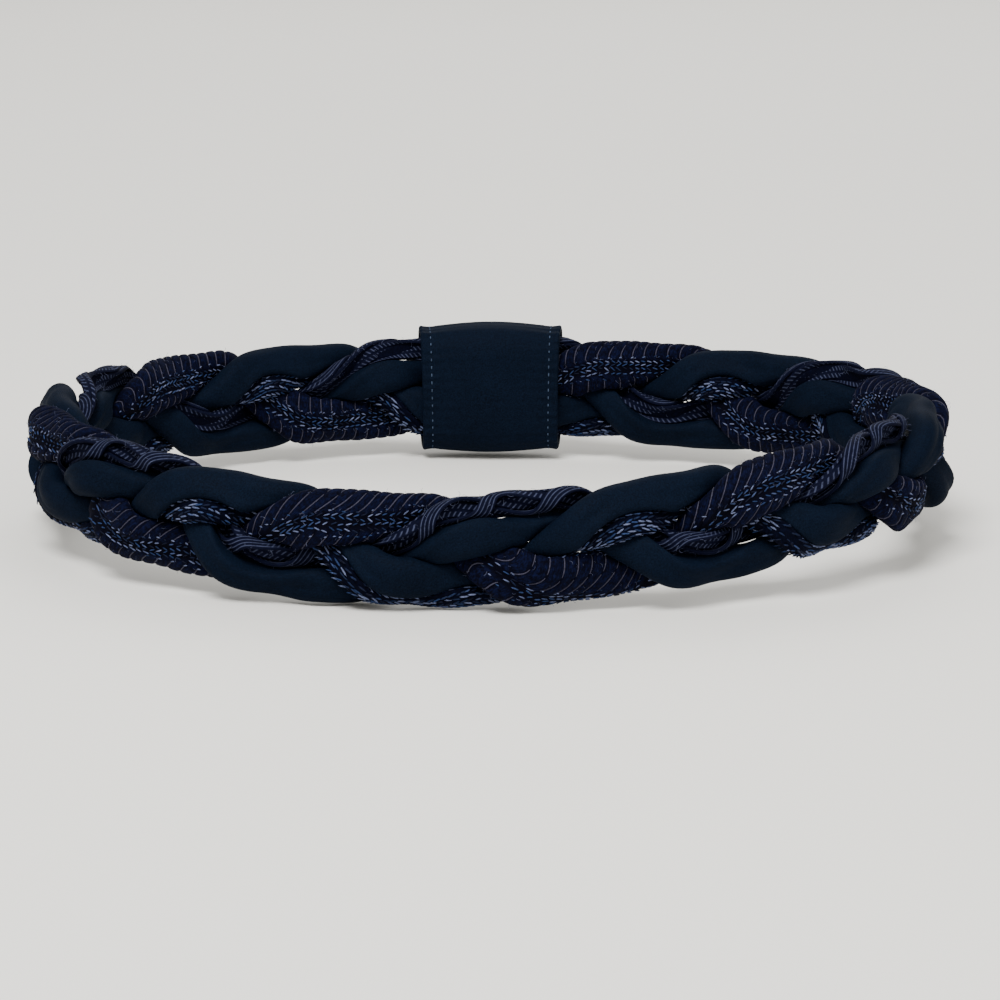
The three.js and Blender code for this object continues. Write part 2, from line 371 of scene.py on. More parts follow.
def satin_material(name, dark, light, nap_size):
    """Peach-finished navy satin stretched over a soft filling: a broad dim sheen and a fine nap."""
    material, tree = new_material(name)
    place = add_node(tree, "ShaderNodeTexCoord")
    # The nap is about 0.1 mm and is drawn coarser so that it shows
    nap = add_node(
        tree,
        "ShaderNodeTexNoise",
        None,
        {"Scale": 0.8 / nap_size, "Detail": 2.0, "Roughness": 0.6},
        {"Vector": place.outputs["Object"]},
    )
    cloudy = add_node(
        tree,
        "ShaderNodeTexNoise",
        None,
        {"Scale": SATIN_CLOUD_SCALE, "Detail": 3.0, "Roughness": 0.6},
        {"Vector": place.outputs["Object"]},
    )
    speckle = add_node(
        tree,
        "ShaderNodeMapRange",
        None,
        {"From Min": 0.32, "From Max": 0.68, "To Min": 0.0, "To Max": 1.0},
        {"Value": nap.outputs["Fac"]},
    )
    tone = add_node(
        tree,
        "ShaderNodeMath",
        {"operation": "MULTIPLY_ADD"},
        {1: 0.8, 2: -0.1},
        {0: speckle.outputs["Result"]},
    )
    blend = add_node(
        tree,
        "ShaderNodeMath",
        {"operation": "MULTIPLY_ADD", "use_clamp": True},
        {1: 0.55},
        {0: cloudy.outputs["Fac"], 2: tone.outputs["Value"]},
    )
    colour = add_node(
        tree,
        "ShaderNodeMix",
        {"data_type": "RGBA"},
        {6: dark, 7: light},
        {0: blend.outputs["Value"]},
    )
    bump = add_node(
        tree,
        "ShaderNodeBump",
        None,
        {"Strength": 0.7, "Distance": nap_size * 0.35},
        {"Height": nap.outputs["Fac"]},
    )
    finish_material(
        tree,
        {
            "Roughness": 0.62,
            "Specular IOR Level": 0.012,
            "Sheen Weight": 0.006,
            "Sheen Roughness": 0.4,
            "Sheen Tint": linear("#4f6f9f"),
        },
        {"Base Color": colour.outputs[2], "Normal": bump.outputs["Normal"]},
    )
    return material


def groove_shaded_yarn_material(name, dark, light):
    """Brushed navy yarn laid in plump ribs: matt, with fibres along the rib, and painted shade that darkens
    the grooves and keeps the light fibres to the rib crowns.
    """
    material, tree = new_material(name)
    rib = add_node(tree, "ShaderNodeUVMap", {"uv_map": "cloth"})
    place = add_node(tree, "ShaderNodeTexCoord")
    height = add_node(tree, "ShaderNodeAttribute", {"attribute_name": "rib"})
    stretched = add_node(
        tree,
        "ShaderNodeMapping",
        None,
        {"Scale": YARN_FIBRE_SCALE},
        {"Vector": rib.outputs["UV"]},
    )
    fibres = add_node(
        tree,
        "ShaderNodeTexNoise",
        None,
        {"Scale": 1.0, "Detail": 3.0, "Roughness": 0.65},
        {"Vector": stretched.outputs["Vector"]},
    )
    fluff = add_node(
        tree,
        "ShaderNodeTexNoise",
        None,
        {"Scale": YARN_TUFT_SCALE, "Detail": 4.0, "Roughness": 0.75},
        {"Vector": place.outputs["Object"]},
    )
    mixed = add_node(
        tree,
        "ShaderNodeMath",
        {"operation": "MULTIPLY"},
        None,
        {0: fibres.outputs["Fac"], 1: fluff.outputs["Fac"]},
    )
    lit = add_node(
        tree,
        "ShaderNodeMapRange",
        None,
        {"From Min": 0.2, "From Max": 0.38},
        {"Value": mixed.outputs["Value"]},
    )
    # Painted shade: the fibres show only as far up the rib as it rises, and the grooves between ribs go to
    # the dark tone
    groove_shaded_fibres = add_node(
        tree,
        "ShaderNodeMath",
        {"operation": "MULTIPLY", "use_clamp": True},
        None,
        {0: lit.outputs["Result"], 1: height.outputs["Fac"]},
    )
    colour = add_node(
        tree,
        "ShaderNodeMix",
        {"data_type": "RGBA"},
        {6: dark, 7: light},
        {0: groove_shaded_fibres.outputs["Value"]},
    )
    bump = add_node(
        tree,
        "ShaderNodeBump",
        None,
        {"Strength": 0.6, "Distance": 0.0003},
        {"Height": mixed.outputs["Value"]},
    )
    finish_material(
        tree,
        {
            "Roughness": 0.85,
            "Specular IOR Level": 0.04,
            "Sheen Weight": 0.015,
            "Sheen Roughness": 0.6,
            "Sheen Tint": linear("#5a628f"),
        },
        {"Base Color": colour.outputs[2], "Normal": bump.outputs["Normal"]},
    )
    return material


def stitch_material(name, dark, blue, light):
    """Twisted viscose yarn in single stitches: navy, teal blue and lilac white by the stitch's tone."""
    material, tree = new_material(name)
    tone = add_node(tree, "ShaderNodeAttribute", {"attribute_name": "tone"})
    place = add_node(tree, "ShaderNodeTexCoord")
    wear = add_node(
        tree,
        "ShaderNodeTexNoise",
        None,
        {"Scale": STITCH_WEAR_SCALE, "Detail": 3.0, "Roughness": 0.7},
        {"Vector": place.outputs["Object"]},
    )
    low = add_node(
        tree,
        "ShaderNodeMapRange",
        None,
        {"From Min": 0.0, "From Max": 0.5},
        {"Value": tone.outputs["Fac"]},
    )
    high = add_node(
        tree,
        "ShaderNodeMapRange",
        None,
        {"From Min": 0.5, "From Max": 1.0},
        {"Value": tone.outputs["Fac"]},
    )
    lower = add_node(
        tree,
        "ShaderNodeMix",
        {"data_type": "RGBA"},
        {6: dark, 7: blue},
        {0: low.outputs["Result"]},
    )
    upper = add_node(
        tree,
        "ShaderNodeMix",
        {"data_type": "RGBA"},
        {7: light},
        {0: high.outputs["Result"], 6: lower.outputs[2]},
    )
    shade = add_node(
        tree,
        "ShaderNodeMapRange",
        None,
        {"From Min": 0.3, "From Max": 0.7, "To Min": 0.45, "To Max": 1.15},
        {"Value": wear.outputs["Fac"]},
    )
    colour = add_node(
        tree,
        "ShaderNodeVectorMath",
        {"operation": "SCALE"},
        None,
        {0: upper.outputs[2], "Scale": shade.outputs["Result"]},
    )
    finish_material(
        tree,
        {"Roughness": 0.65, "Specular IOR Level": 0.1},
        {"Base Color": colour.outputs["Vector"]},
    )
    return material


def pinstripe_material(name, dark, light, stripe):
    """Ribbon woven from navy yarn with raised light warp threads, which fluff breaks here and there."""
    material, tree = new_material(name)
    thread = add_node(tree, "ShaderNodeAttribute", {"attribute_name": "thread"})
    place = add_node(tree, "ShaderNodeTexCoord")
    fluff = add_node(
        tree,
        "ShaderNodeTexNoise",
        None,
        {"Scale": RIBBON_TUFT_SCALE, "Detail": 4.0, "Roughness": 0.7},
        {"Vector": place.outputs["Object"]},
    )
    ground = add_node(
        tree,
        "ShaderNodeMix",
        {"data_type": "RGBA"},
        {6: dark, 7: light},
        {0: fluff.outputs["Fac"]},
    )
    broken = add_node(
        tree,
        "ShaderNodeMapRange",
        None,
        {"From Min": 0.34, "From Max": 0.52, "To Min": 0.35, "To Max": 1.0},
        {"Value": fluff.outputs["Fac"]},
    )
    crisp = add_node(
        tree,
        "ShaderNodeMapRange",
        {"interpolation_type": "SMOOTHSTEP"},
        {"From Min": 0.78, "From Max": 0.94},
        {"Value": thread.outputs["Fac"]},
    )
    # Where a band falls its other face shows, on which the threads come up as short slanted floats
    along = add_node(tree, "ShaderNodeAttribute", {"attribute_name": "along"})
    across = add_node(tree, "ShaderNodeAttribute", {"attribute_name": "across"})
    falling = add_node(tree, "ShaderNodeAttribute", {"attribute_name": "falling"})
    slant = add_node(
        tree,
        "ShaderNodeMath",
        {"operation": "MULTIPLY"},
        {1: FLOAT_SLANT},
        {0: across.outputs["Fac"]},
    )
    place_along = add_node(
        tree,
        "ShaderNodeMath",
        {"operation": "MULTIPLY_ADD"},
        {1: 2 * math.pi / FLOAT_PITCH},
        {0: along.outputs["Fac"], 2: slant.outputs["Value"]},
    )
    beat = add_node(tree, "ShaderNodeMath", {"operation": "SINE"}, None, {0: place_along.outputs["Value"]})
    bars = add_node(
        tree,
        "ShaderNodeMapRange",
        {"interpolation_type": "SMOOTHSTEP"},
        {"From Min": 0.35, "From Max": 0.85},
        {"Value": beat.outputs["Value"]},
    )
    turns = add_node(
        tree, "ShaderNodeMath", {"operation": "MULTIPLY"}, {1: math.pi}, {0: across.outputs["Fac"]}
    )
    hump = add_node(tree, "ShaderNodeMath", {"operation": "SINE"}, None, {0: turns.outputs["Value"]})
    both = add_node(tree, "ShaderNodeMath", {"operation": "ABSOLUTE"}, None, {0: hump.outputs["Value"]})
    rows = add_node(
        tree,
        "ShaderNodeMapRange",
        {"interpolation_type": "SMOOTHSTEP"},
        {"From Min": 0.45, "From Max": 0.7},
        {"Value": both.outputs["Value"]},
    )
    floats = add_node(
        tree,
        "ShaderNodeMath",
        {"operation": "MULTIPLY"},
        None,
        {0: bars.outputs["Result"], 1: rows.outputs["Result"]},
    )
    cut = add_node(
        tree,
        "ShaderNodeMix",
        {"data_type": "FLOAT"},
        None,
        {0: falling.outputs["Fac"], 2: crisp.outputs["Result"], 3: floats.outputs["Value"]},
    )
    shown = add_node(
        tree,
        "ShaderNodeMath",
        {"operation": "MULTIPLY", "use_clamp": True},
        None,
        {0: cut.outputs[0], 1: broken.outputs["Result"]},
    )
    colour = add_node(
        tree,
        "ShaderNodeMix",
        {"data_type": "RGBA"},
        {7: stripe},
        {0: shown.outputs["Value"], 6: ground.outputs[2]},
    )
    bump = add_node(
        tree,
        "ShaderNodeBump",
        None,
        {"Strength": 0.5, "Distance": 0.0002},
        {"Height": fluff.outputs["Fac"]},
    )
    finish_material(
        tree,
        {"Roughness": 0.8, "Specular IOR Level": 0.06},
        {"Base Color": colour.outputs[2], "Normal": bump.outputs["Normal"]},
    )
    return material


def fluff_material(name, colour):
    """Loose fibre ends: single filaments that catch a little light at the outline."""
    material, tree = new_material(name)
    place = add_node(tree, "ShaderNodeTexCoord")
    patch = add_node(
        tree,
        "ShaderNodeTexNoise",
        None,
        {"Scale": FIBRE_PATCH_SCALE, "Detail": 2.0},
        {"Vector": place.outputs["Object"]},
    )
    tint = add_node(
        tree,
        "ShaderNodeMix",
        {"data_type": "RGBA"},
        {6: linear("#10142a"), 7: colour},
        {0: patch.outputs["Fac"]},
    )
    finish_material(tree, {"Roughness": 0.8}, {"Base Color": tint.outputs[2]})
    return material


def floor_material(name, colour):
    """Matt painted board: pale, even and very slightly mottled."""
    material, tree = new_material(name)
    place = add_node(tree, "ShaderNodeTexCoord")
    mottle = add_node(
        tree,
        "ShaderNodeTexNoise",
        None,
        {"Scale": BOARD_MOTTLE_SCALE, "Detail": 3.0},
        {"Vector": place.outputs["Object"]},
    )
    tint = add_node(
        tree,
        "ShaderNodeMix",
        {"data_type": "RGBA"},
        {6: [c * 0.97 for c in colour[:3]] + [1.0], 7: colour},
        {0: mottle.outputs["Fac"]},
    )
    finish_material(tree, {"Roughness": 0.9, "Specular IOR Level": 0.2}, {"Base Color": tint.outputs[2]})
    return material


def plain_object(name, mesh):
    """A mesh as an object at the origin."""
    piece = bpy.data.objects.new(name, mesh)
    bpy.context.scene.collection.objects.link(piece)
    return piece


def tube_object(name, rings, around, along, material):
    """A closed tube through rings of points, with a cloth map in metres round and along it."""
    rows, sides = rings.shape[:2]
    middles = [rings[0].mean(0), rings[-1].mean(0)]
    points = np.concatenate([rings.reshape(-1, 3), middles])
    row, side = np.meshgrid(np.arange(rows - 1), np.arange(sides), indexing="ij")
    beside = (side + 1) % sides
    near = row * sides
    next_row = (row + 1) * sides
    corners = [near + side, near + beside, next_row + beside, next_row + side]
    quads = np.stack(corners, -1).reshape(-1, 4)
    j = np.arange(sides)
    k = (j + 1) % sides
    last = (rows - 1) * sides
    first_fan = np.stack([np.full(sides, rows * sides), k, j], -1)
    last_fan = np.stack([np.full(sides, rows * sides + 1), last + j, last + k], -1)
    mesh = bpy.data.meshes.new(name)
    mesh.from_pydata(points.tolist(), [], quads.tolist() + first_fan.tolist() + last_fan.tolist())
    share = np.stack([side, side + 1, side + 1, side], -1) / sides * around
    far = np.stack([along[row, side], along[row, beside], along[row + 1, beside], along[row + 1, side]], -1)
    cloth = np.zeros((len(mesh.loops), 2))
    cloth[: quads.size, 0] = share.reshape(-1)
    cloth[: quads.size, 1] = far.reshape(-1)
    layer = mesh.uv_layers.new(name="cloth")
    layer.data.foreach_set("uv", cloth.reshape(-1))
    mesh.polygons.foreach_set("use_smooth", np.ones(len(mesh.polygons), bool))
    mesh.materials.append(material)
    return plain_object(name, mesh)


def point_attribute(mesh, name, values, kind="FLOAT"):
    """Stores one number or vector per vertex."""
    layer = mesh.attributes.new(name, kind, "POINT")
    field = "vector" if kind == "FLOAT_VECTOR" else "value"
    layer.data.foreach_set(field, np.ascontiguousarray(values, np.float32).reshape(-1))


def polylines(name, lines):
    """A mesh of open lines from an array of lines by points."""
    count, steps = lines.shape[:2]
    start = np.arange(count)[:, None] * steps + np.arange(steps - 1)[None, :]
    edges = np.stack([start, start + 1], -1).reshape(-1, 2)
    mesh = bpy.data.meshes.new(name)
    mesh.from_pydata(lines.reshape(-1, 3).tolist(), edges.tolist(), [])
    return plain_object(name, mesh)


def new_tree(name, numbers):
    """A geometry tree with named inputs for its sizes; returns it with its group input."""
    tree = bpy.data.node_groups.new(name, "GeometryNodeTree")
    tree.is_modifier = True
    tree.interface.new_socket("Geometry", in_out="INPUT", socket_type="NodeSocketGeometry")
    tree.interface.new_socket("Geometry", in_out="OUTPUT", socket_type="NodeSocketGeometry")
    for label, default in numbers.items():
        kind = "NodeSocketInt" if isinstance(default, int) else "NodeSocketFloat"
        socket = tree.interface.new_socket(label, in_out="INPUT", socket_type=kind)
        socket.default_value = default
    tree.interface.new_socket("Finish", in_out="INPUT", socket_type="NodeSocketMaterial")
    return tree, tree.nodes.new("NodeGroupInput")


def finish_tree(tree, group, source):
    """Realizes, smooths and paints what the tree made, and hands it out."""
    real = add_node(tree, "GeometryNodeRealizeInstances", None, None, {"Geometry": source})
    smooth = add_node(tree, "GeometryNodeSetShadeSmooth", None, None, {"Geometry": real.outputs[0]})
    painted = add_node(
        tree,
        "GeometryNodeSetMaterial",
        None,
        None,
        {"Geometry": smooth.outputs[0], "Material": group.outputs["Finish"]},
    )
    add_node(tree, "NodeGroupOutput", None, None, {0: painted.outputs[0]})


def grow(name, source, tree, inputs):
    """Runs a tree on a source object and returns the result as a plain mesh object."""
    modifier = source.modifiers.new(tree.name, "NODES")
    modifier.node_group = tree
    for item in tree.interface.items_tree:
        if item.in_out == "INPUT" and item.name in inputs:
            modifier[item.identifier] = inputs[item.name]
    bpy.context.view_layer.update()
    graph = bpy.context.evaluated_depsgraph_get()
    made = bpy.data.meshes.new_from_object(
        source.evaluated_get(graph), preserve_all_data_layers=True, depsgraph=graph
    )
    source.modifiers.remove(modifier)
    if not made.polygons:
        raise RuntimeError(f"{name}: the tree made no faces")
    made.name = name
    return plain_object(name, made)


def discard(piece):
    """Removes a helper object and its mesh."""
    mesh = piece.data
    bpy.data.objects.remove(piece)
    bpy.data.meshes.remove(mesh)


def thread_tree():
    """Round threads along lines, tapered by each point's own share of the thickness."""
    tree, group = new_tree("Laid threads", {"Thread Radius": 0.0002, "Thread Sides": 4})
    curve = add_node(tree, "GeometryNodeMeshToCurve", None, None, {"Mesh": group.outputs["Geometry"]})
    profile = add_node(
        tree,
        "GeometryNodeCurvePrimitiveCircle",
        None,
        None,
        {"Resolution": group.outputs["Thread Sides"], "Radius": group.outputs["Thread Radius"]},
    )
    taper = add_node(tree, "GeometryNodeInputNamedAttribute", {"data_type": "FLOAT"}, {"Name": "taper"})
    swept = add_node(
        tree,
        "GeometryNodeCurveToMesh",
        None,
        {"Fill Caps": True},
        {
            "Curve": curve.outputs["Curve"],
            "Profile Curve": profile.outputs["Curve"],
            "Scale": taper.outputs["Attribute"],
        },
    )
    finish_tree(tree, group, swept.outputs["Mesh"])
    return tree


def stitch_tree():
    """One plump stitch at each point, laid along "run" and standing up along "rise"."""
    tree, group = new_tree("Laid stitches", {"Stitch Width": 0.0007, "Stitch Height": 0.0006})
    grain = add_node(tree, "GeometryNodeMeshUVSphere", None, {"Segments": 6, "Rings": 3, "Radius": 0.5})
    lying = add_node(
        tree,
        "GeometryNodeTransform",
        None,
        {"Rotation": Euler((0, math.radians(90), 0))},
        {"Geometry": grain.outputs["Mesh"]},
    )
    run = add_node(tree, "GeometryNodeInputNamedAttribute", {"data_type": "FLOAT_VECTOR"}, {"Name": "run"})
    rise = add_node(
        tree, "GeometryNodeInputNamedAttribute", {"data_type": "FLOAT_VECTOR"}, {"Name": "rise"}
    )
    length = add_node(
        tree, "ShaderNodeVectorMath", {"operation": "LENGTH"}, None, {0: run.outputs["Attribute"]}
    )
    turned = add_node(
        tree,
        "FunctionNodeAxesToRotation",
        {"primary_axis": "Z", "secondary_axis": "X"},
        None,
        {"Primary Axis": rise.outputs["Attribute"], "Secondary Axis": run.outputs["Attribute"]},
    )
    size = add_node(
        tree,
        "ShaderNodeCombineXYZ",
        None,
        None,
        {
            "X": length.outputs["Value"],
            "Y": group.outputs["Stitch Width"],
            "Z": group.outputs["Stitch Height"],
        },
    )
    laid = add_node(
        tree,
        "GeometryNodeInstanceOnPoints",
        None,
        None,
        {
            "Points": group.outputs["Geometry"],
            "Instance": lying.outputs["Geometry"],
            "Rotation": turned.outputs["Rotation"],
            "Scale": size.outputs["Vector"],
        },
    )
    finish_tree(tree, group, laid.outputs["Instances"])
    return tree


def band_tree():
    """A flat ribbon along each line, facing along "face", with raised warp threads on both sides."""
    numbers = {"Band Width": 0.0044, "Band Thickness": 0.0009, "Thread Rise": 0.00022, "Threads": 4}
    tree, group = new_tree("Striped bands", numbers)
    curve = add_node(tree, "GeometryNodeMeshToCurve", None, None, {"Mesh": group.outputs["Geometry"]})
    face = add_node(
        tree, "GeometryNodeInputNamedAttribute", {"data_type": "FLOAT_VECTOR"}, {"Name": "face"}
    )
    turned = add_node(
        tree,
        "GeometryNodeSetCurveNormal",
        {"mode": "FREE"},
        None,
        {"Curve": curve.outputs["Curve"], "Normal": face.outputs["Attribute"]},
    )
    ring = add_node(tree, "GeometryNodeCurvePrimitiveCircle", None, {"Resolution": 28, "Radius": 1.0})
    spot = add_node(tree, "GeometryNodeInputPosition")
    parts = add_node(tree, "ShaderNodeSeparateXYZ", None, None, {0: spot.outputs["Position"]})
    angle = add_node(
        tree,
        "ShaderNodeMath",
        {"operation": "ARCSINE"},
        None,
        {0: parts.outputs["X"]},
    )
    # The ring's angle spreads its points evenly across the ribbon
    across = add_node(
        tree, "ShaderNodeMath", {"operation": "MULTIPLY"}, {1: 2 / math.pi}, {0: angle.outputs["Value"]}
    )
    turns = add_node(
        tree,
        "ShaderNodeMath",
        {"operation": "MULTIPLY"},
        {1: math.pi / 2},
        {0: group.outputs["Threads"]},
    )
    wave = add_node(
        tree,
        "ShaderNodeMath",
        {"operation": "MULTIPLY"},
        None,
        {0: across.outputs["Value"], 1: turns.outputs["Value"]},
    )
    swell = add_node(tree, "ShaderNodeMath", {"operation": "SINE"}, None, {0: wave.outputs["Value"]})
    raised = add_node(tree, "ShaderNodeMath", {"operation": "ABSOLUTE"}, None, {0: swell.outputs["Value"]})
    kept = add_node(
        tree,
        "GeometryNodeStoreNamedAttribute",
        {"data_type": "FLOAT"},
        {"Name": "across"},
        {"Geometry": ring.outputs["Curve"], "Value": across.outputs["Value"]},
    )
    captured = add_node(
        tree,
        "GeometryNodeStoreNamedAttribute",
        {"data_type": "FLOAT"},
        {"Name": "thread"},
        {"Geometry": kept.outputs["Geometry"], "Value": raised.outputs["Value"]},
    )
    side = add_node(tree, "ShaderNodeMath", {"operation": "SIGN"}, None, {0: parts.outputs["Y"]})
    edge = add_node(
        tree,
        "ShaderNodeMath",
        {"operation": "POWER"},
        {1: 6.0},
        {0: across.outputs["Value"]},
    )
    body = add_node(
        tree,
        "ShaderNodeMath",
        {"operation": "SUBTRACT", "use_clamp": True},
        {0: 1.0},
        {1: edge.outputs["Value"]},
    )
    half = add_node(
        tree, "ShaderNodeMath", {"operation": "MULTIPLY"}, {1: 0.5}, {0: group.outputs["Band Thickness"]}
    )
    core = add_node(
        tree,
        "ShaderNodeMath",
        {"operation": "MULTIPLY"},
        None,
        {0: body.outputs["Value"], 1: half.outputs["Value"]},
    )
    ridge = add_node(
        tree,
        "ShaderNodeMath",
        {"operation": "MULTIPLY_ADD"},
        None,
        {0: raised.outputs["Value"], 1: group.outputs["Thread Rise"], 2: core.outputs["Value"]},
    )
    rise = add_node(
        tree,
        "ShaderNodeMath",
        {"operation": "MULTIPLY"},
        None,
        {0: ridge.outputs["Value"], 1: side.outputs["Value"]},
    )
    width = add_node(
        tree,
        "ShaderNodeMath",
        {"operation": "MULTIPLY"},
        {1: -0.5},
        {0: group.outputs["Band Width"]},
    )
    reach = add_node(
        tree,
        "ShaderNodeMath",
        {"operation": "MULTIPLY"},
        None,
        {0: across.outputs["Value"], 1: width.outputs["Value"]},
    )
    # A profile's X goes along the curve's normal, so the ribbon's width is its Y
    shape = add_node(
        tree,
        "ShaderNodeCombineXYZ",
        None,
        None,
        {"X": rise.outputs["Value"], "Y": reach.outputs["Value"]},
    )
    profile = add_node(
        tree,
        "GeometryNodeSetPosition",
        None,
        None,
        {"Geometry": captured.outputs["Geometry"], "Position": shape.outputs["Vector"]},
    )
    swept = add_node(
        tree,
        "GeometryNodeCurveToMesh",
        None,
        {"Fill Caps": True},
        {"Curve": turned.outputs["Curve"], "Profile Curve": profile.outputs["Geometry"]},
    )
    finish_tree(tree, group, swept.outputs["Mesh"])
    return tree


def fluff_tree():
    """Short bent fibres scattered over a surface with a fixed seed."""
    numbers = {
        "Fibres Per Square Metre": 60000.0,
        "Fibre Length": 0.0016,
        "Fibre Radius": 0.00004,
        "Seed": 7,
    }
    tree, group = new_tree("Loose fibres", numbers)
    spots = add_node(
        tree,
        "GeometryNodeDistributePointsOnFaces",
        None,
        None,
        {
            "Mesh": group.outputs["Geometry"],
            "Density": group.outputs["Fibres Per Square Metre"],
            "Seed": group.outputs["Seed"],
        },
    )
    lean = add_node(
        tree,
        "FunctionNodeRandomValue",
        {"data_type": "FLOAT_VECTOR"},
        {0: (-1.1, -1.1, 0.0), 1: (1.1, 1.1, 6.28)},
        {"Seed": group.outputs["Seed"]},
    )
    swung = add_node(
        tree,
        "FunctionNodeRotateRotation",
        {"rotation_space": "LOCAL"},
        None,
        {"Rotation": spots.outputs["Rotation"], "Rotate By": lean.outputs[0]},
    )
    sizes = add_node(
        tree,
        "FunctionNodeRandomValue",
        {"data_type": "FLOAT"},
        {2: 0.4, 3: 1.0},
        {"Seed": group.outputs["Seed"]},
    )
    length = group.outputs["Fibre Length"]
    tip = add_node(tree, "ShaderNodeCombineXYZ", None, None, {"X": length, "Z": length})
    bend = add_node(tree, "ShaderNodeCombineXYZ", None, None, {"Z": length})
    hair = add_node(
        tree,
        "GeometryNodeCurveQuadraticBezier",
        None,
        {"Resolution": 3, "Start": (0.0, 0.0, 0.0)},
        {"Middle": bend.outputs["Vector"], "End": tip.outputs["Vector"]},
    )
    profile = add_node(
        tree,
        "GeometryNodeCurvePrimitiveCircle",
        None,
        {"Resolution": 3},
        {"Radius": group.outputs["Fibre Radius"]},
    )
    fibre = add_node(
        tree,
        "GeometryNodeCurveToMesh",
        None,
        {"Fill Caps": True},
        {"Curve": hair.outputs["Curve"], "Profile Curve": profile.outputs["Curve"]},
    )
    laid = add_node(
        tree,
        "GeometryNodeInstanceOnPoints",
        None,
        None,
        {
            "Points": spots.outputs["Points"],
            "Instance": fibre.outputs["Mesh"],
            "Rotation": swung.outputs["Rotation"],
            "Scale": sizes.outputs[1],
        },
    )
    finish_tree(tree, group, laid.outputs["Instances"])
    return tree


# Stitches longer than this many times the median are left out
LONGEST_STITCH = 1.45


def stitched(name, starts, ends, rises, tones, width, height, material):
    """Stitches from start to end points, each standing up along its rise, with a tone each.

    Where the cloth is folded under a neighbour, the longest stitches are left out.
    """
    lengths = np.linalg.norm(ends - starts, axis=1)
    kept = lengths < LONGEST_STITCH * np.median(lengths)
    starts, ends, rises, tones = starts[kept], ends[kept], rises[kept], tones[kept]
    mesh = bpy.data.meshes.new(name + "_points")
    mesh.from_pydata(((starts + ends) / 2).tolist(), [], [])
    point_attribute(mesh, "run", ends - starts, "FLOAT_VECTOR")
    point_attribute(mesh, "rise", rises, "FLOAT_VECTOR")
    point_attribute(mesh, "tone", tones)
    source = plain_object(mesh.name, mesh)
    inputs = {"Stitch Width": width, "Stitch Height": height, "Finish": material}
    piece = grow(name, source, stitch_tree(), inputs)
    discard(source)
    return piece


def stitch_tones(rng, bright, blue, count):
    """Tones of stitches: a share bright, a share blue and the rest dark, each a little uneven."""
    pick = rng.random(count)
    tones = np.where(pick < bright, 0.92, np.where(pick < bright + blue, 0.5, 0.1))
    return np.clip(tones + rng.normal(0, 0.09, count), 0.02, 1)


def smooth_step(low, high, values):
    """Rises smoothly from 0 at low to 1 at high."""
    t = np.clip((values - low) / (high - low), 0, 1)
    return t * t * (3 - 2 * t)


class SatinTubeSizes(bpy.types.PropertyGroup):
    step: bpy.props.FloatProperty(
        name="Step",
        description="Distance between two rings of a tube",
        default=0.0013,
        unit="LENGTH",
    )
    sides: bpy.props.IntProperty(name="Sides", description="Points round a tube", default=40, min=8)
    waviness: bpy.props.FloatProperty(
        name="Waviness",
        description="How much the filling swells and thins along a tube",
        default=0.00012,
        unit="LENGTH",
    )
    nap: bpy.props.FloatProperty(
        name="Nap",
        description="Size of one grain of the cloth's nap",
        default=0.0003,
        unit="LENGTH",
    )
    dark: bpy.props.FloatVectorProperty(
        name="Dark", description="Darker tone", subtype="COLOR", size=4, default=linear("#05080f")
    )
    light: bpy.props.FloatVectorProperty(
        name="Light", description="Lighter tone", subtype="COLOR", size=4, default=linear("#0c1524")
    )


class RopeBraidSizes(bpy.types.PropertyGroup):
    rib_pitch: bpy.props.FloatProperty(
        name="Rib Pitch",
        description="Distance between two ribs along the rope",
        default=0.0037,
        unit="LENGTH",
    )
    rib_depth: bpy.props.FloatProperty(
        name="Rib Depth", description="Depth of the grooves between ribs", default=0.0006, unit="LENGTH"
    )
    upper_lean: bpy.props.FloatProperty(
        name="Upper Lean",
        description="Angle of the ribs to the rope above the spine",
        default=math.radians(45),
        unit="ROTATION",
    )
    lower_lean: bpy.props.FloatProperty(
        name="Lower Lean",
        description="Angle of the ribs to the rope below the spine",
        default=math.radians(50),
        unit="ROTATION",
    )
    spine_width: bpy.props.FloatProperty(
        name="Spine Width", description="Width of the knitted spine", default=0.0058, unit="LENGTH"
    )
    stitch_pitch: bpy.props.FloatProperty(
        name="Stitch Pitch",
        description="Distance between two stitches along the spine",
        default=0.0019,
        unit="LENGTH",
    )
    stitch_width: bpy.props.FloatProperty(
        name="Stitch Width", description="Width of one leg of a stitch", default=0.00045, unit="LENGTH"
    )
    thread_radius: bpy.props.FloatProperty(
        name="Thread Radius",
        description="Half the thickness of the light thread in a groove",
        default=0.00021,
        unit="LENGTH",
    )
    # The dark tone is painted shade in the grooves between ribs; the light one is the yarn on the rib crowns
    dark: bpy.props.FloatVectorProperty(
        name="Dark",
        description="Tone in the grooves",
        subtype="COLOR",
        size=4,
        default=linear("#02020b"),
    )
    light: bpy.props.FloatVectorProperty(
        name="Light", description="Tone on the ribs", subtype="COLOR", size=4, default=linear("#0a102e")
    )
    thread: bpy.props.FloatVectorProperty(
        name="Thread", description="Light thread", subtype="COLOR", size=4, default=linear("#3c3b4b")
    )


class KnitCordSizes(bpy.types.PropertyGroup):
    columns: bpy.props.IntProperty(
        name="Columns", description="Columns of stitches round", default=8, min=3
    )
    stitch_pitch: bpy.props.FloatProperty(
        name="Stitch Pitch",
        description="Distance between two stitches along the cord",
        default=0.0019,
        unit="LENGTH",
    )
    stitch_width: bpy.props.FloatProperty(
        name="Stitch Width", description="Width of half a stitch", default=0.0006, unit="LENGTH"
    )
    dark: bpy.props.FloatVectorProperty(
        name="Dark", description="Ground yarn", subtype="COLOR", size=4, default=linear("#04061a")
    )
    blue: bpy.props.FloatVectorProperty(
        name="Blue", description="Teal-blue stitches", subtype="COLOR", size=4, default=linear("#24375f")
    )
    light: bpy.props.FloatVectorProperty(
        name="Light", description="Light stitches", subtype="COLOR", size=4, default=linear("#636b8a")
    )


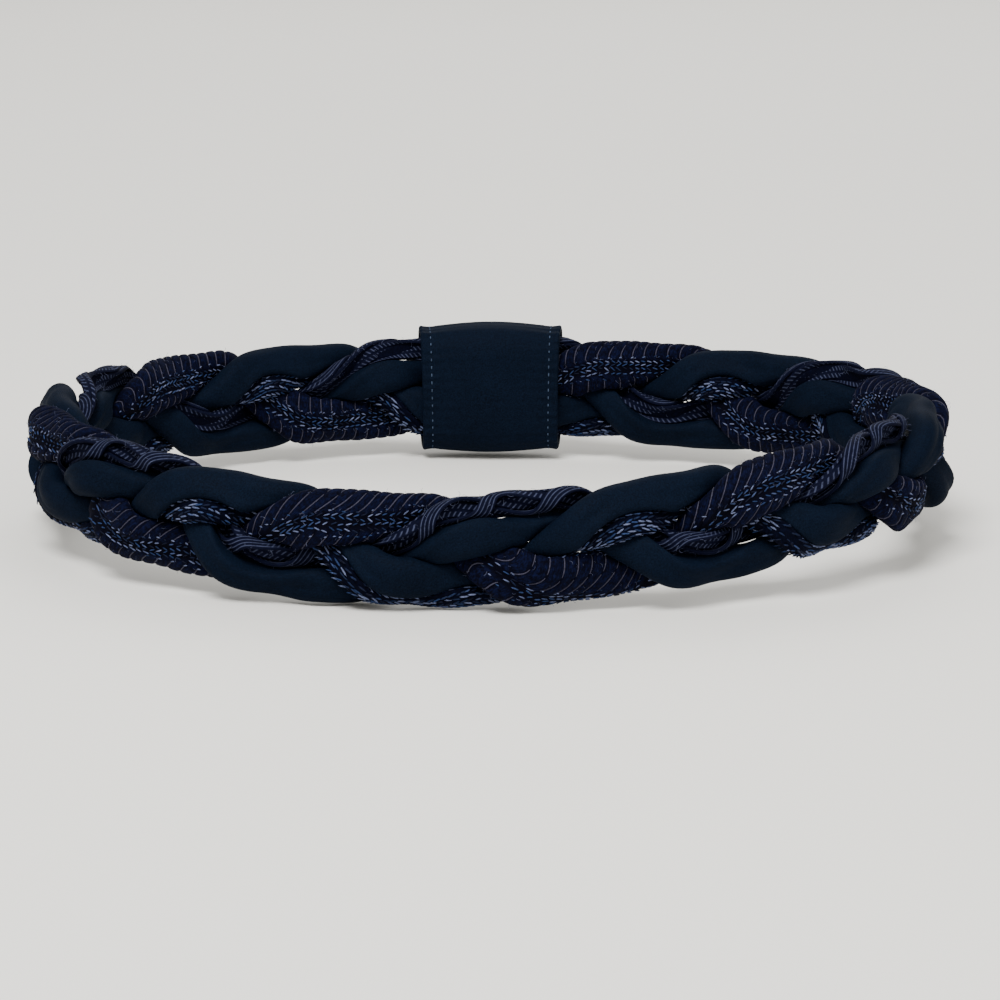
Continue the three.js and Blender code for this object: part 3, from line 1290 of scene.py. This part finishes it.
class SmallPlaitSizes(bpy.types.PropertyGroup):
    period: bpy.props.FloatProperty(
        name="Period",
        description="Length over which one band comes round again",
        default=0.050,
        unit="LENGTH",
    )
    swing: bpy.props.FloatProperty(
        name="Swing",
        description="How far a band's middle goes up and down",
        default=0.0031,
        unit="LENGTH",
    )
    lift: bpy.props.FloatProperty(
        name="Lift",
        description="How much further out a band lies where it rises than where it falls",
        default=0.0026,
        unit="LENGTH",
    )
    set_back: bpy.props.FloatProperty(
        name="Set Back",
        description="Share of the lift by which the falling bands lie behind the plait's middle",
        default=0.42,
        min=0,
        max=1,
        subtype="FACTOR",
    )
    steps: bpy.props.IntProperty(name="Steps", description="Points along each band", default=960, min=100)
    lean: bpy.props.FloatProperty(
        name="Lean",
        description="How far each band tilts over the one below it",
        default=math.radians(13),
        unit="ROTATION",
    )
    haste: bpy.props.FloatProperty(
        name="Haste",
        description="Share by which a band rises faster than it falls",
        default=0.72,
        min=0,
        max=0.9,
    )
    roll: bpy.props.FloatProperty(
        name="Roll",
        description="How far a band turns over the plait's upper and lower edge",
        default=math.radians(76),
        unit="ROTATION",
    )
    band_width: bpy.props.FloatProperty(
        name="Band Width", description="Width of one band", default=0.0044, unit="LENGTH"
    )
    band_thickness: bpy.props.FloatProperty(
        name="Band Thickness",
        description="Thickness between the raised threads",
        default=0.0009,
        unit="LENGTH",
    )
    threads: bpy.props.IntProperty(name="Threads", description="Raised light threads on a band", default=4)
    dark: bpy.props.FloatVectorProperty(
        name="Dark", description="Darker ground", subtype="COLOR", size=4, default=linear("#02030f")
    )
    light: bpy.props.FloatVectorProperty(
        name="Light", description="Lighter ground", subtype="COLOR", size=4, default=linear("#070b23")
    )
    stripe: bpy.props.FloatVectorProperty(
        name="Stripe", description="Raised threads", subtype="COLOR", size=4, default=linear("#383d53")
    )


class BackSleeveSizes(bpy.types.PropertyGroup):
    sides: bpy.props.IntProperty(name="Sides", description="Points round the sleeve", default=200, min=12)
    gathers: bpy.props.IntProperty(
        name="Gathers", description="Gathered folds round a mouth", default=34, min=4
    )
    gather_depth: bpy.props.FloatProperty(
        name="Gather Depth", description="Depth of a fold at the mouth", default=0.00018, unit="LENGTH"
    )
    seam_inset: bpy.props.FloatProperty(
        name="Seam Inset",
        description="Distance of the stitched seam from a mouth",
        default=0.0032,
        unit="LENGTH",
    )
    nap: bpy.props.FloatProperty(
        name="Nap", description="Size of one grain of the cloth's nap", default=0.0003, unit="LENGTH"
    )
    seam_pitch: bpy.props.FloatProperty(
        name="Seam Pitch",
        description="Distance between two seam stitches",
        default=0.0022,
        unit="LENGTH",
    )
    dark: bpy.props.FloatVectorProperty(
        name="Dark", description="Darker tone", subtype="COLOR", size=4, default=linear("#05080f")
    )
    light: bpy.props.FloatVectorProperty(
        name="Light", description="Lighter tone", subtype="COLOR", size=4, default=linear("#0c1524")
    )


class StageSizes(bpy.types.PropertyGroup):
    pitch: bpy.props.FloatProperty(
        name="Pitch",
        description="How steeply the camera looks down",
        default=math.radians(13),
        unit="ROTATION",
    )
    distance: bpy.props.FloatProperty(
        name="Distance", description="Distance of the camera from its target", default=1.2, unit="LENGTH"
    )
    floor: bpy.props.FloatVectorProperty(
        name="Floor", description="Floor colour", subtype="COLOR", size=4, default=linear("#f1efe9")
    )


class BELT_OT_make_satin_tubes(bpy.types.Operator):
    """Make the two smooth satin tubes."""

    bl_idname = "belt.make_satin_tubes"
    bl_label = "Satin Tubes"

    def execute(self, context):
        sizes = context.scene.belt_satin
        satin = satin_material("peach_finished_satin", sizes.dark, sizes.light, sizes.nap)
        count = round(2 * CORD_END / sizes.step)
        distance = np.linspace(-CORD_END, CORD_END, count + 1)[:, None]
        angle = np.linspace(0, 2 * np.pi, sizes.sides, endpoint=False)[None, :]
        for name in ("satin_tube_upper", "satin_tube_lower"):
            cord = CORDS[name]
            swell = np.sin(distance * 95 + cord.offset * 4000) + 0.6 * np.sin(distance * 231 + 2 * angle)
            rings = skin_at(cord, distance, angle, sizes.waviness * swell)
            around = math.pi * (cord.height + cord.depth) / 2
            along = np.broadcast_to(distance, rings.shape[:2])
            tube = tube_object("satin_cover_" + name.rsplit("_", 1)[1], rings, around, along, satin)
            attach(tube, "root")
            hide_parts(name)
        return {"FINISHED"}


# Legs of the spine's stitches: angles from the middle of the face in degrees at their foot and tip, and
# the shares of them that are bright and blue
SPINE_LEGS = (
    (12, 2, 0.15, 0.55),
    (-12, -2, 0.2, 0.5),
    (39, 32, 0.5, 0.2),
    (17, 26, 0.4, 0.3),
    (-39, -32, 0.5, 0.2),
    (-17, -26, 0.35, 0.3),
)


# How far the ribs run slanting from the front spine round the rope, in degrees, before they turn back
RIB_SPAN = 140
# Where the ribs rise beside the spine, as shares of its width, and the crown that stands at the outline
RIB_FOOT = 0.36
RIB_FULL = 0.62
RIB_LEVEL = 0.85
SPINE_SINK = 0.0004


def rope_skin(sizes, distance, own_angle, extra=0.0):
    """Points on the ribbed rope, with how far up the rib each lies, from the distance of the rib's foot."""
    rope = CORDS["rope_braid"]
    # Degrees from the front spine over the top, or under, to the back spine
    over = np.degrees(np.arccos(np.clip(np.sin(own_angle), -1, 1)))
    bent = np.where(over < RIB_SPAN, over * 90 / RIB_SPAN, 90 + (over - RIB_SPAN) * 90 / (180 - RIB_SPAN))
    lean = np.where(np.cos(own_angle) > 0, sizes.upper_lean, -sizes.lower_lean)
    shift = RIB_SPAN / 90 * rope.height / 2 * np.sin(np.radians(bent)) / np.tan(lean)
    ends = smooth_step(0, 0.03, CORD_END - np.abs(distance))
    at = np.clip(distance + shift * ends, -CORD_END, CORD_END)
    phase = distance / sizes.rib_pitch
    beside = np.abs(phase - np.round(phase)) * 2
    crown = np.sqrt(np.maximum(1 - beside**3, 0))
    spine = np.abs(np.cos(own_angle)) * rope.height / 2
    ribbed = smooth_step(RIB_FOOT * sizes.spine_width, RIB_FULL * sizes.spine_width, spine)
    lift = ribbed * sizes.rib_depth * (crown - RIB_LEVEL) - (1 - ribbed) * SPINE_SINK
    return skin_at(rope, at, own_angle, lift + extra), crown * ribbed


class BELT_OT_make_rope_braid(bpy.types.Operator):
    """Make the wide rope: slanting ribs, light threads in its grooves and a knitted spine."""

    bl_idname = "belt.make_rope_braid"
    bl_label = "Rope Braid"

    # Angles of a groove's thread at its foot by the spine and at its tip, for each side of both faces
    groove_ends = ((58, 2), (122, 178), (-58, -8), (-122, -172))
    thread_lift = 0.00018

    def execute(self, context):
        sizes = context.scene.belt_rope
        knit = context.scene.belt_knit
        rope = CORDS["rope_braid"]
        yarn = groove_shaded_yarn_material("brushed_navy_yarn", sizes.dark, sizes.light)
        thread = stitch_material("lilac_viscose_thread", sizes.dark, knit.blue, sizes.thread)
        stitch = stitch_material("twisted_viscose_stitches", knit.dark, knit.blue, knit.light)
        samples = 8
        ribs = math.floor(CORD_END / sizes.rib_pitch)
        distance = (np.arange(-ribs * samples, ribs * samples + 1) / samples * sizes.rib_pitch)[:, None]
        angle = np.linspace(0, 2 * np.pi, 48, endpoint=False)[None, :]
        rings, crown = rope_skin(sizes, distance, angle)
        around = math.pi * (rope.height + rope.depth) / 2
        along = np.broadcast_to(distance, rings.shape[:2])
        body = tube_object("rope_ribs", rings, around, along, yarn)
        fans = [0.0, 0.0]
        # How far up its rib each point lies, which paints shade into the grooves
        point_attribute(body.data, "rib", np.concatenate([crown.reshape(-1), fans]))
        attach(body, "root")
        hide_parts("rope_braid")

        # One light thread in each groove, above and below the spine, on both faces
        grooves = (np.arange(-ribs + 4, ribs - 3) + 0.5) * sizes.rib_pitch
        steps = np.linspace(0, 1, 9)
        lines = []
        for low, high in self.groove_ends:
            sweep = np.radians(low + (high - low) * steps)[None, :]
            points, _ = rope_skin(sizes, grooves[:, None], sweep, self.thread_lift)
            lines.append(points)
        source = polylines("groove_lines", np.concatenate(lines))
        taper = np.tile(0.55 + 0.45 * np.sin(np.pi * steps), len(grooves) * len(lines))
        point_attribute(source.data, "taper", taper)
        inputs = {"Thread Radius": sizes.thread_radius, "Thread Sides": 4, "Finish": thread}
        threads = grow("groove_threads", source, thread_tree(), inputs)
        discard(source)
        point_attribute(threads.data, "tone", np.ones(len(threads.data.vertices)))
        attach(threads, "root")

        # The spine: three columns of V stitches, blue in the middle and light at the sides
        rows = []
        last = CORD_END - 0.004
        starts = np.arange(-last, last, sizes.stitch_pitch)
        rng = np.random.default_rng(11)
        for face in (90, -90):
            for inner, outer, bright, blue in SPINE_LEGS:
                sway = rng.normal(0, 2.5, (2, len(starts)))
                here = skin_at(rope, starts, np.radians(face + inner + sway[0]), -0.0002)
                ahead = starts + sizes.stitch_pitch * rng.uniform(0.75, 1.15, len(starts))
                there = skin_at(rope, ahead, np.radians(face + outer + sway[1]), -0.0002)
                foot = skin_at(rope, (starts + ahead) / 2, np.radians(face + (inner + outer) / 2), -0.003)
                shade = stitch_tones(rng, bright, blue, len(starts))
                rows.append((here, there, (here + there) / 2 - foot, shade))
        columns = [np.concatenate(parts) for parts in zip(*rows)]
        spine = stitched("rope_spine", *columns, sizes.stitch_width, sizes.stitch_width, stitch)
        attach(spine, "root")
        return {"FINISHED"}


class BELT_OT_make_knit_cord(bpy.types.Operator):
    """Make the thin knitted cord: a dark core under columns of V stitches."""

    bl_idname = "belt.make_knit_cord"
    bl_label = "Knit Cord"

    def execute(self, context):
        sizes = context.scene.belt_knit
        cord = CORDS["knit_cord"]
        core_yarn = groove_shaded_yarn_material("navy_core_yarn", linear("#01020c"), linear("#060a22"))
        stitch = stitch_material("twisted_viscose_knit", sizes.dark, sizes.blue, sizes.light)
        distance = np.linspace(-CORD_END, CORD_END, 450)[:, None]
        angle = np.linspace(0, 2 * np.pi, 12, endpoint=False)[None, :]
        rings = skin_at(cord, distance, angle, -0.0003)
        along = np.broadcast_to(distance, rings.shape[:2])
        core = tube_object("knit_core", rings, math.pi * cord.height, along, core_yarn)
        point_attribute(core.data, "rib", np.full(len(core.data.vertices), 0.5))
        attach(core, "root")

        rng = np.random.default_rng(5)
        rows = []
        width = 360 / sizes.columns
        for column in range(sizes.columns):
            middle = 90 + (column + 0.5) * width
            for side in (-1, 1):
                starts = np.arange(-CORD_END + 0.002, CORD_END - 0.004, sizes.stitch_pitch)
                starts = starts + (column % 2) * sizes.stitch_pitch / 2
                starts = starts + rng.normal(0, 0.00012, len(starts))
                sway = rng.normal(0, 2.5, (2, len(starts)))
                low = np.radians(middle + side * width * 0.42 + sway[0])
                high = np.radians(middle + side * width * 0.16 + sway[1])
                ahead = starts + sizes.stitch_pitch * rng.uniform(1.05, 1.4, len(starts))
                here = skin_at(cord, starts, low, -0.0003)
                there = skin_at(cord, ahead, high, -0.00026)
                foot = skin_at(cord, (starts + ahead) / 2, (low + high) / 2, -0.0018)
                shade = stitch_tones(rng, 0.45 if side < 0 else 0.15, 0.22, len(starts))
                rows.append((here, there, (here + there) / 2 - foot, shade))
        columns = [np.concatenate(parts) for parts in zip(*rows)]
        knit = stitched("knit_stitches", *columns, sizes.stitch_width, sizes.stitch_width * 0.7, stitch)
        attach(knit, "root")
        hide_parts("knit_cord")
        return {"FINISHED"}


class BELT_OT_make_small_plait(bpy.types.Operator):
    """Make the small plait: three striped bands laid over and under each other."""

    bl_idname = "belt.make_small_plait"
    bl_label = "Small Plait"

    # The bands may swell a little past the cord's outline, and are drawn in softly near it
    swell = 1.02
    softness = 10.0
    # The places along the belt over which the middle line is averaged
    dive_steps = (-0.004, -0.002, 0, 0.002, 0.004)
    # The core of folds: how far it stays inside the outline, how far it reaches on below as a dark strip of
    # painted shade above the satin tube, and half its thickness
    core_inset = 0.0006
    shade_strip_drop = 0.0022
    core_half_depth = 0.0003

    def draw_in(self, cord, rings, distance):
        """Draws points in where the neighbouring cords press the plait."""
        here = np.broadcast_to(distance[..., None], rings.shape[:-1])
        zero = np.zeros_like(here)
        middle = placed(here, zero, zero)
        ahead = unit(placed(here + 0.0005, zero, zero) - middle)
        # A point that is ahead of its ring's middle is measured where it is
        here = here + ((rings - middle) * ahead).sum(-1)
        middle = placed(here, zero, zero)
        upward = placed(here, zero + 1, zero) - middle
        outward = placed(here, zero, zero + 1) - middle
        centre_up, centre_out, _ = cord_centre(cord, thirds_at(here))
        up = ((rings - middle) * upward).sum(-1) - centre_up
        out = ((rings - middle) * outward).sum(-1) - centre_out
        far = np.maximum(np.hypot(up, out), 1e-6)
        limit = reach_at(cord, thirds_at(here), np.arctan2(out, up), self.swell)
        drawn = (far**-self.softness + limit**-self.softness) ** (-1 / self.softness)
        share = (drawn / far - 1)[..., None]
        return rings + upward * up[..., None] * share + outward * out[..., None] * share

    def frame_of(self, cord, distance):
        """Middle line of the plait, with its own upward and outward directions square to it.

        The line is the mean of five places along the cord, so that the plait dives gently.
        """
        near = [cord_centre(cord, thirds_at(distance + step)) for step in self.dive_steps]
        up, out, turn = np.mean(near, axis=0)
        c = np.cos(turn)
        s = np.sin(turn)
        line = placed(distance, up, out)
        ahead = unit(np.gradient(line, axis=0))
        upward = placed(distance, up + c, out - s) - line
        upward = unit(upward - ahead * (upward * ahead).sum(-1, keepdims=True))
        outward = placed(distance, up + s, out + c) - line
        outward = outward - ahead * (outward * ahead).sum(-1, keepdims=True)
        outward = unit(outward - upward * (outward * upward).sum(-1, keepdims=True))
        return line, upward, outward

    def band_places(self, sizes, band):
        """Distances along the belt and phases of a band, closer together where it rises."""
        # The phase runs ahead while a band rises, so that it rises steeply and falls gently
        turns = np.linspace(-np.pi, np.pi, 721)
        times = turns - sizes.haste * np.sin(turns)
        spread = np.linspace(-CORD_END, CORD_END, 6001)
        time = (spread / sizes.period + band / 3) * 2 * np.pi
        rounds = np.round(time / (2 * np.pi)) * 2 * np.pi
        phase = np.interp(time - rounds, times, turns) + rounds
        measure = time + phase
        distance = np.interp(np.linspace(measure[0], measure[-1], sizes.steps), measure, spread)
        return distance, np.interp(distance, spread, phase)

    def execute(self, context):
        sizes = context.scene.belt_plait
        cord = CORDS["mini_plait"]
        stripes = pinstripe_material("pinstriped_ribbon", sizes.dark, sizes.light, sizes.stripe)
        lines = []
        faces = []
        places = []
        falling = []
        for band in range(3):
            distance, phase = self.band_places(sizes, band)
            middle, upward, outward = self.frame_of(cord, distance)
            along_up = sizes.swing * np.sin(phase)
            along_out = sizes.lift * (((1 + np.cos(phase)) / 2) ** 1.5 - sizes.set_back)
            line = middle + upward * along_up[:, None] + outward * along_out[:, None]
            tilt = (sizes.lean + sizes.roll * np.sin(phase))[:, None]
            face = upward * np.sin(tilt) + outward * np.cos(tilt)
            along = unit(np.gradient(line, axis=0))
            lines.append(line)
            faces.append(unit(face - along * (face * along).sum(-1, keepdims=True)))
            places.append(distance)
            falling.append(smooth_step(-0.2, 0.5, -np.cos(phase)))
        places = np.stack(places)
        source = polylines("band_lines", np.stack(lines))
        point_attribute(source.data, "face", np.stack(faces), "FLOAT_VECTOR")
        point_attribute(source.data, "falling", np.stack(falling))
        point_attribute(source.data, "along", places)
        inputs = {
            "Band Width": sizes.band_width,
            "Band Thickness": sizes.band_thickness,
            "Threads": sizes.threads,
            "Finish": stripes,
        }
        bands = grow("striped_bands", source, band_tree(), inputs)
        discard(source)
        points = np.zeros(len(bands.data.vertices) * 3)
        bands.data.vertices.foreach_get("co", points)
        rings = self.draw_in(cord, points.reshape(*places.shape, -1, 3), places)
        bands.data.vertices.foreach_set("co", rings.reshape(-1))
        bands.data.update()
        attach(bands, "root")
        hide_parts("mini_plait")

        # The bands' inner folds, as one flat dark core that closes the plait; where it shows below the bands
        # it is painted shade
        own = np.linspace(0, 2 * np.pi, 16, endpoint=False)
        across = np.linspace(-CORD_END, CORD_END, 600)
        middle, upward, outward = self.frame_of(cord, across)
        # A little wider towards the satin tube below, so that no light comes through between them: a dark
        # strip of painted shade in the gap
        core_up = (cord.height / 2 - self.core_inset) * np.cos(own)
        core_up = core_up - self.shade_strip_drop * np.clip(-np.cos(own), 0, 1)
        core_out = self.core_half_depth * np.sin(own) - sizes.lift * sizes.set_back
        rings = middle[:, None] + upward[:, None] * core_up[:, None] + outward[:, None] * core_out[:, None]
        rings = self.draw_in(cord, rings, across)
        across = np.broadcast_to(across[:, None], rings.shape[:2])
        folds = groove_shaded_yarn_material("navy_ribbon_folds", sizes.dark, sizes.light)
        around = math.pi * cord.height
        core = tube_object("plait_folds", rings, around, across, folds)
        point_attribute(core.data, "rib", np.full(len(core.data.vertices), 0.5))
        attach(core, "root")
        return {"FINISHED"}


class BELT_OT_make_back_sleeve(bpy.types.Operator):
    """Make the satin-covered sleeve at the middle of the back, with a stitched seam at each mouth."""

    bl_idname = "belt.make_back_sleeve"
    bl_label = "Back Sleeve"

    # Shares of the wall: the lip at a mouth, the dip behind it, the swell at the middle and the seam
    lip_wall = 1.1
    dip = 0.16
    bulge = 0.7
    seam_wall = 0.95
    # The dip's inner end from the mouth and its length, the share of half the sleeve that swells, and the
    # distance over which the gathers fade
    dip_end = 0.0056
    dip_length = 0.005
    swell_share = 0.74
    gather_fade = 0.009
    # The outline's length, as a multiple of the bore's width and height together
    girth_share = 1.7
    seam_thread_width = 0.00045
    seam_thread_height = 0.0004

    def ring(self, sizes, sides, from_back, wall):
        """One ring of the sleeve at a share of its wall, with the cloth gathered towards the mouths."""
        # Corners of the outline are closer in angle, so its points are spread by length instead
        fine = np.linspace(0, 2 * np.pi, 1441)
        fine_up = np.sign(np.cos(fine)) * np.abs(np.cos(fine)) ** (2 / SLEEVE_ROUNDNESS) * SLEEVE_BORE_UP
        fine_out = np.sign(np.sin(fine)) * np.abs(np.sin(fine)) ** (2 / SLEEVE_ROUNDNESS) * SLEEVE_BORE_OUT
        length = np.concatenate([[0.0], np.cumsum(np.hypot(np.diff(fine_up), np.diff(fine_out)))])
        part = np.arange(sides) / sides
        angle = np.interp(part * length[-1], length, fine)
        c = np.cos(angle)
        s = np.sin(angle)
        near_mouth = math.exp(-(SLEEVE_LENGTH / 2 - abs(from_back)) / self.gather_fade)
        fold = np.sin(sizes.gathers * 2 * np.pi * part)
        fold = fold + 0.6 * np.sin(round(sizes.gathers * 0.62) * 2 * np.pi * part + from_back * 90)
        lift = wall * SLEEVE_WALL + sizes.gather_depth * fold * near_mouth * smooth_step(0.5, 0.9, wall)
        up = np.sign(c) * np.abs(c) ** (2 / SLEEVE_ROUNDNESS) * (SLEEVE_BORE_UP + lift)
        out = np.sign(s) * np.abs(s) ** (2 / SLEEVE_ROUNDNESS) * (SLEEVE_BORE_OUT + lift)
        return placed(np.full(sides, LOOP_LENGTH / 2 + from_back), up, out)

    def execute(self, context):
        sizes = context.scene.belt_sleeve
        satin = satin_material("sleeve_satin", sizes.dark, sizes.light, sizes.nap)
        half = SLEEVE_LENGTH / 2
        girth = 2 * (SLEEVE_BORE_UP + SLEEVE_BORE_OUT) * self.girth_share
        floor = half - SLEEVE_SOCKET
        # The skin from a socket floor out over the mouth, as distance from the back and wall share
        lip = []
        for turn in np.linspace(0, math.pi, 9):
            at = half - SLEEVE_WALL / 2 * (1 - math.sin(turn))
            lip.append((at, self.lip_wall / 2 * (1 - math.cos(turn))))
        pull = []
        for share in (0.9, 0.75, 0.6, 0.45, 0.3, 0.15):
            at = half - self.dip_end + self.dip_length * share
            pull.append((at, self.lip_wall - self.dip * math.sin(math.pi * share)))
        body = []
        for share in np.linspace(self.swell_share, -self.swell_share, 31):
            body.append((half * share, self.lip_wall + self.bulge * math.cos(math.pi * share * 0.66)))
        right = [(floor, 0), ((floor + half) / 2, 0)] + lip + pull
        left = [(-at, wall) for at, wall in reversed(right)]
        rings = []
        places = []
        for at, wall in right + body + left:
            rings.append(self.ring(sizes, sizes.sides, at, wall))
            places.append(at)
        rings = np.stack(rings)[::-1]
        along = np.broadcast_to(np.array(places)[::-1, None], rings.shape[:2])
        sleeve = tube_object("satin_sleeve", rings, girth, along, satin)
        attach(sleeve, "root")
        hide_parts("back_clasp")

        starts = []
        ends = []
        rises = []
        thread = stitch_material("sleeve_seam_thread", sizes.dark, sizes.light, linear("#46566e"))
        count = round(girth / sizes.seam_pitch)
        for side in (-1, 1):
            at = side * (half - sizes.seam_inset)
            seam = self.ring(sizes, count * 2, at, self.seam_wall)
            inner = self.ring(sizes, count * 2, at, 0)
            starts.append(seam[0::2])
            ends.append(seam[1::2])
            rises.append(seam[0::2] - inner[0::2])
        tones = np.full(count * 2, 0.9)
        columns = [np.concatenate(rows) for rows in (starts, ends, rises)]
        width, height = self.seam_thread_width, self.seam_thread_height
        seams = stitched("sleeve_seams", *columns, tones, width, height, thread)
        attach(seams, "root")
        return {"FINISHED"}


class BELT_OT_make_fluff(bpy.types.Operator):
    """Scatter loose fibre ends over the yarn pieces."""

    bl_idname = "belt.make_fluff"
    bl_label = "Loose Fibres"

    def execute(self, context):
        fluff = fluff_material("loose_fibre_ends", linear("#6a7194"))
        tree = fluff_tree()
        # Carrier, name, slot, fibres per square metre, length and seed
        rows = (
            ("rope_ribs", "rope_fluff", "rope", 50000.0, 0.0011, 3),
            ("striped_bands", "band_fluff", "pinstripe_band", 60000.0, 0.0012, 9),
        )
        for carrier, name, slot, density, length, seed in rows:
            source = bpy.data.objects[carrier]
            inputs = {
                "Fibres Per Square Metre": density,
                "Fibre Length": length,
                "Seed": seed,
                "Finish": fluff,
            }
            piece = grow(name, source, tree, inputs)
            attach(piece, "root")
        return {"FINISHED"}


class BELT_OT_make_stage(bpy.types.Operator):
    """Make the pale floor, the soft lights and the camera."""

    bl_idname = "belt.make_stage"
    bl_label = "Stage"

    floor_drop = 0.0006
    floor_reach = 12.0
    world_strength = 0.76
    # Name, place, size and power of each soft light, all aimed at the belt
    lights = (
        ("key", (-0.4, -1.1, 1.8), 1.0, 62.0),
        ("fill", (1.3, -1.0, 0.9), 1.4, 9.0),
        ("back", (0.2, 1.5, 1.2), 1.2, 14.0),
    )
    # The camera's lens and frame in millimetres, the point it looks at and its tilt in degrees
    lens_length = 147.5
    lens_frame = 36.0
    target = (0.0033, 0, -0.0142)
    tilt = 0.43

    def execute(self, context):
        sizes = context.scene.belt_stage
        low = cad_low.z - self.floor_drop
        mesh = bpy.data.meshes.new("floor")
        reach = self.floor_reach
        corners = [(-reach, -reach, low), (reach, -reach, low), (reach, reach, low), (-reach, reach, low)]
        mesh.from_pydata(corners, [], [(0, 1, 2, 3)])
        mesh.materials.append(floor_material("matt_painted_board", tuple(sizes.floor)))
        floor = plain_object("floor", mesh)

        world = bpy.data.worlds.new("studio")
        world.use_nodes = True
        background = world.node_tree.nodes["Background"]
        background.inputs["Color"].default_value = linear("#f4f3f0")
        background.inputs["Strength"].default_value = self.world_strength
        context.scene.world = world

        for name, place, size, power in self.lights:
            lamp = bpy.data.lights.new(name, "AREA")
            lamp.shape = "DISK"
            lamp.size = size
            lamp.energy = power
            light = bpy.data.objects.new(name, lamp)
            light.location = place
            light.rotation_euler = (-Vector(place)).to_track_quat("-Z", "Y").to_euler()
            context.scene.collection.objects.link(light)

        sight = Vector((0, math.cos(sizes.pitch), -math.sin(sizes.pitch)))
        target = Vector(self.target)
        lens = bpy.data.cameras.new("camera")
        lens.sensor_width = self.lens_frame
        lens.lens = self.lens_length
        lens.clip_end = 100.0
        camera = bpy.data.objects.new("camera", lens)
        camera.location = target - sight * sizes.distance
        facing = sight.to_track_quat("-Z", "Y").to_matrix()
        roll = Euler((0, 0, math.radians(self.tilt))).to_matrix()
        camera.rotation_euler = (facing @ roll).to_euler()
        context.scene.collection.objects.link(camera)
        context.scene.camera = camera
        return {"FINISHED"}


class BELT_PT_pieces(bpy.types.Panel):
    """The pieces of the belt and the sizes that shape them."""

    bl_label = "Braided Wrap Belt"
    bl_idname = "BELT_PT_pieces"
    bl_space_type = "VIEW_3D"
    bl_region_type = "UI"
    bl_category = "Belt"

    def draw(self, context):
        layout = self.layout
        for operator, group in PANEL_ROWS:
            layout.operator(operator)
            if group:
                settings = getattr(context.scene, group)
                for name in settings.bl_rna.properties.keys():
                    if name not in {"rna_type", "name"}:
                        layout.prop(settings, name)


PANEL_ROWS = (
    ("belt.make_satin_tubes", "belt_satin"),
    ("belt.make_rope_braid", "belt_rope"),
    ("belt.make_knit_cord", "belt_knit"),
    ("belt.make_small_plait", "belt_plait"),
    ("belt.make_back_sleeve", "belt_sleeve"),
    ("belt.make_fluff", ""),
    ("belt.make_stage", "belt_stage"),
)

SETTINGS = (
    ("belt_satin", SatinTubeSizes),
    ("belt_rope", RopeBraidSizes),
    ("belt_knit", KnitCordSizes),
    ("belt_plait", SmallPlaitSizes),
    ("belt_sleeve", BackSleeveSizes),
    ("belt_stage", StageSizes),
)

OPERATORS = (
    BELT_OT_make_satin_tubes,
    BELT_OT_make_rope_braid,
    BELT_OT_make_knit_cord,
    BELT_OT_make_small_plait,
    BELT_OT_make_back_sleeve,
    BELT_OT_make_fluff,
    BELT_OT_make_stage,
)


def register():
    """Registers the sizes, the operators and the panel."""
    for name, group in SETTINGS:
        bpy.utils.register_class(group)
        setattr(bpy.types.Scene, name, bpy.props.PointerProperty(type=group))
    for operator in OPERATORS:
        bpy.utils.register_class(operator)
    bpy.utils.register_class(BELT_PT_pieces)


def unregister():
    """Takes back what register added."""
    bpy.utils.unregister_class(BELT_PT_pieces)
    for operator in reversed(OPERATORS):
        bpy.utils.unregister_class(operator)
    for name, group in reversed(SETTINGS):
        delattr(bpy.types.Scene, name)
        bpy.utils.unregister_class(group)


def main():
    """Makes every piece and the stage."""
    register()
    bpy.ops.belt.make_satin_tubes()
    bpy.ops.belt.make_rope_braid()
    bpy.ops.belt.make_knit_cord()
    bpy.ops.belt.make_small_plait()
    bpy.ops.belt.make_back_sleeve()
    bpy.ops.belt.make_fluff()
    bpy.ops.belt.make_stage()
    bpy.context.view_layer.update()


if __name__ == "__main__":
    main()
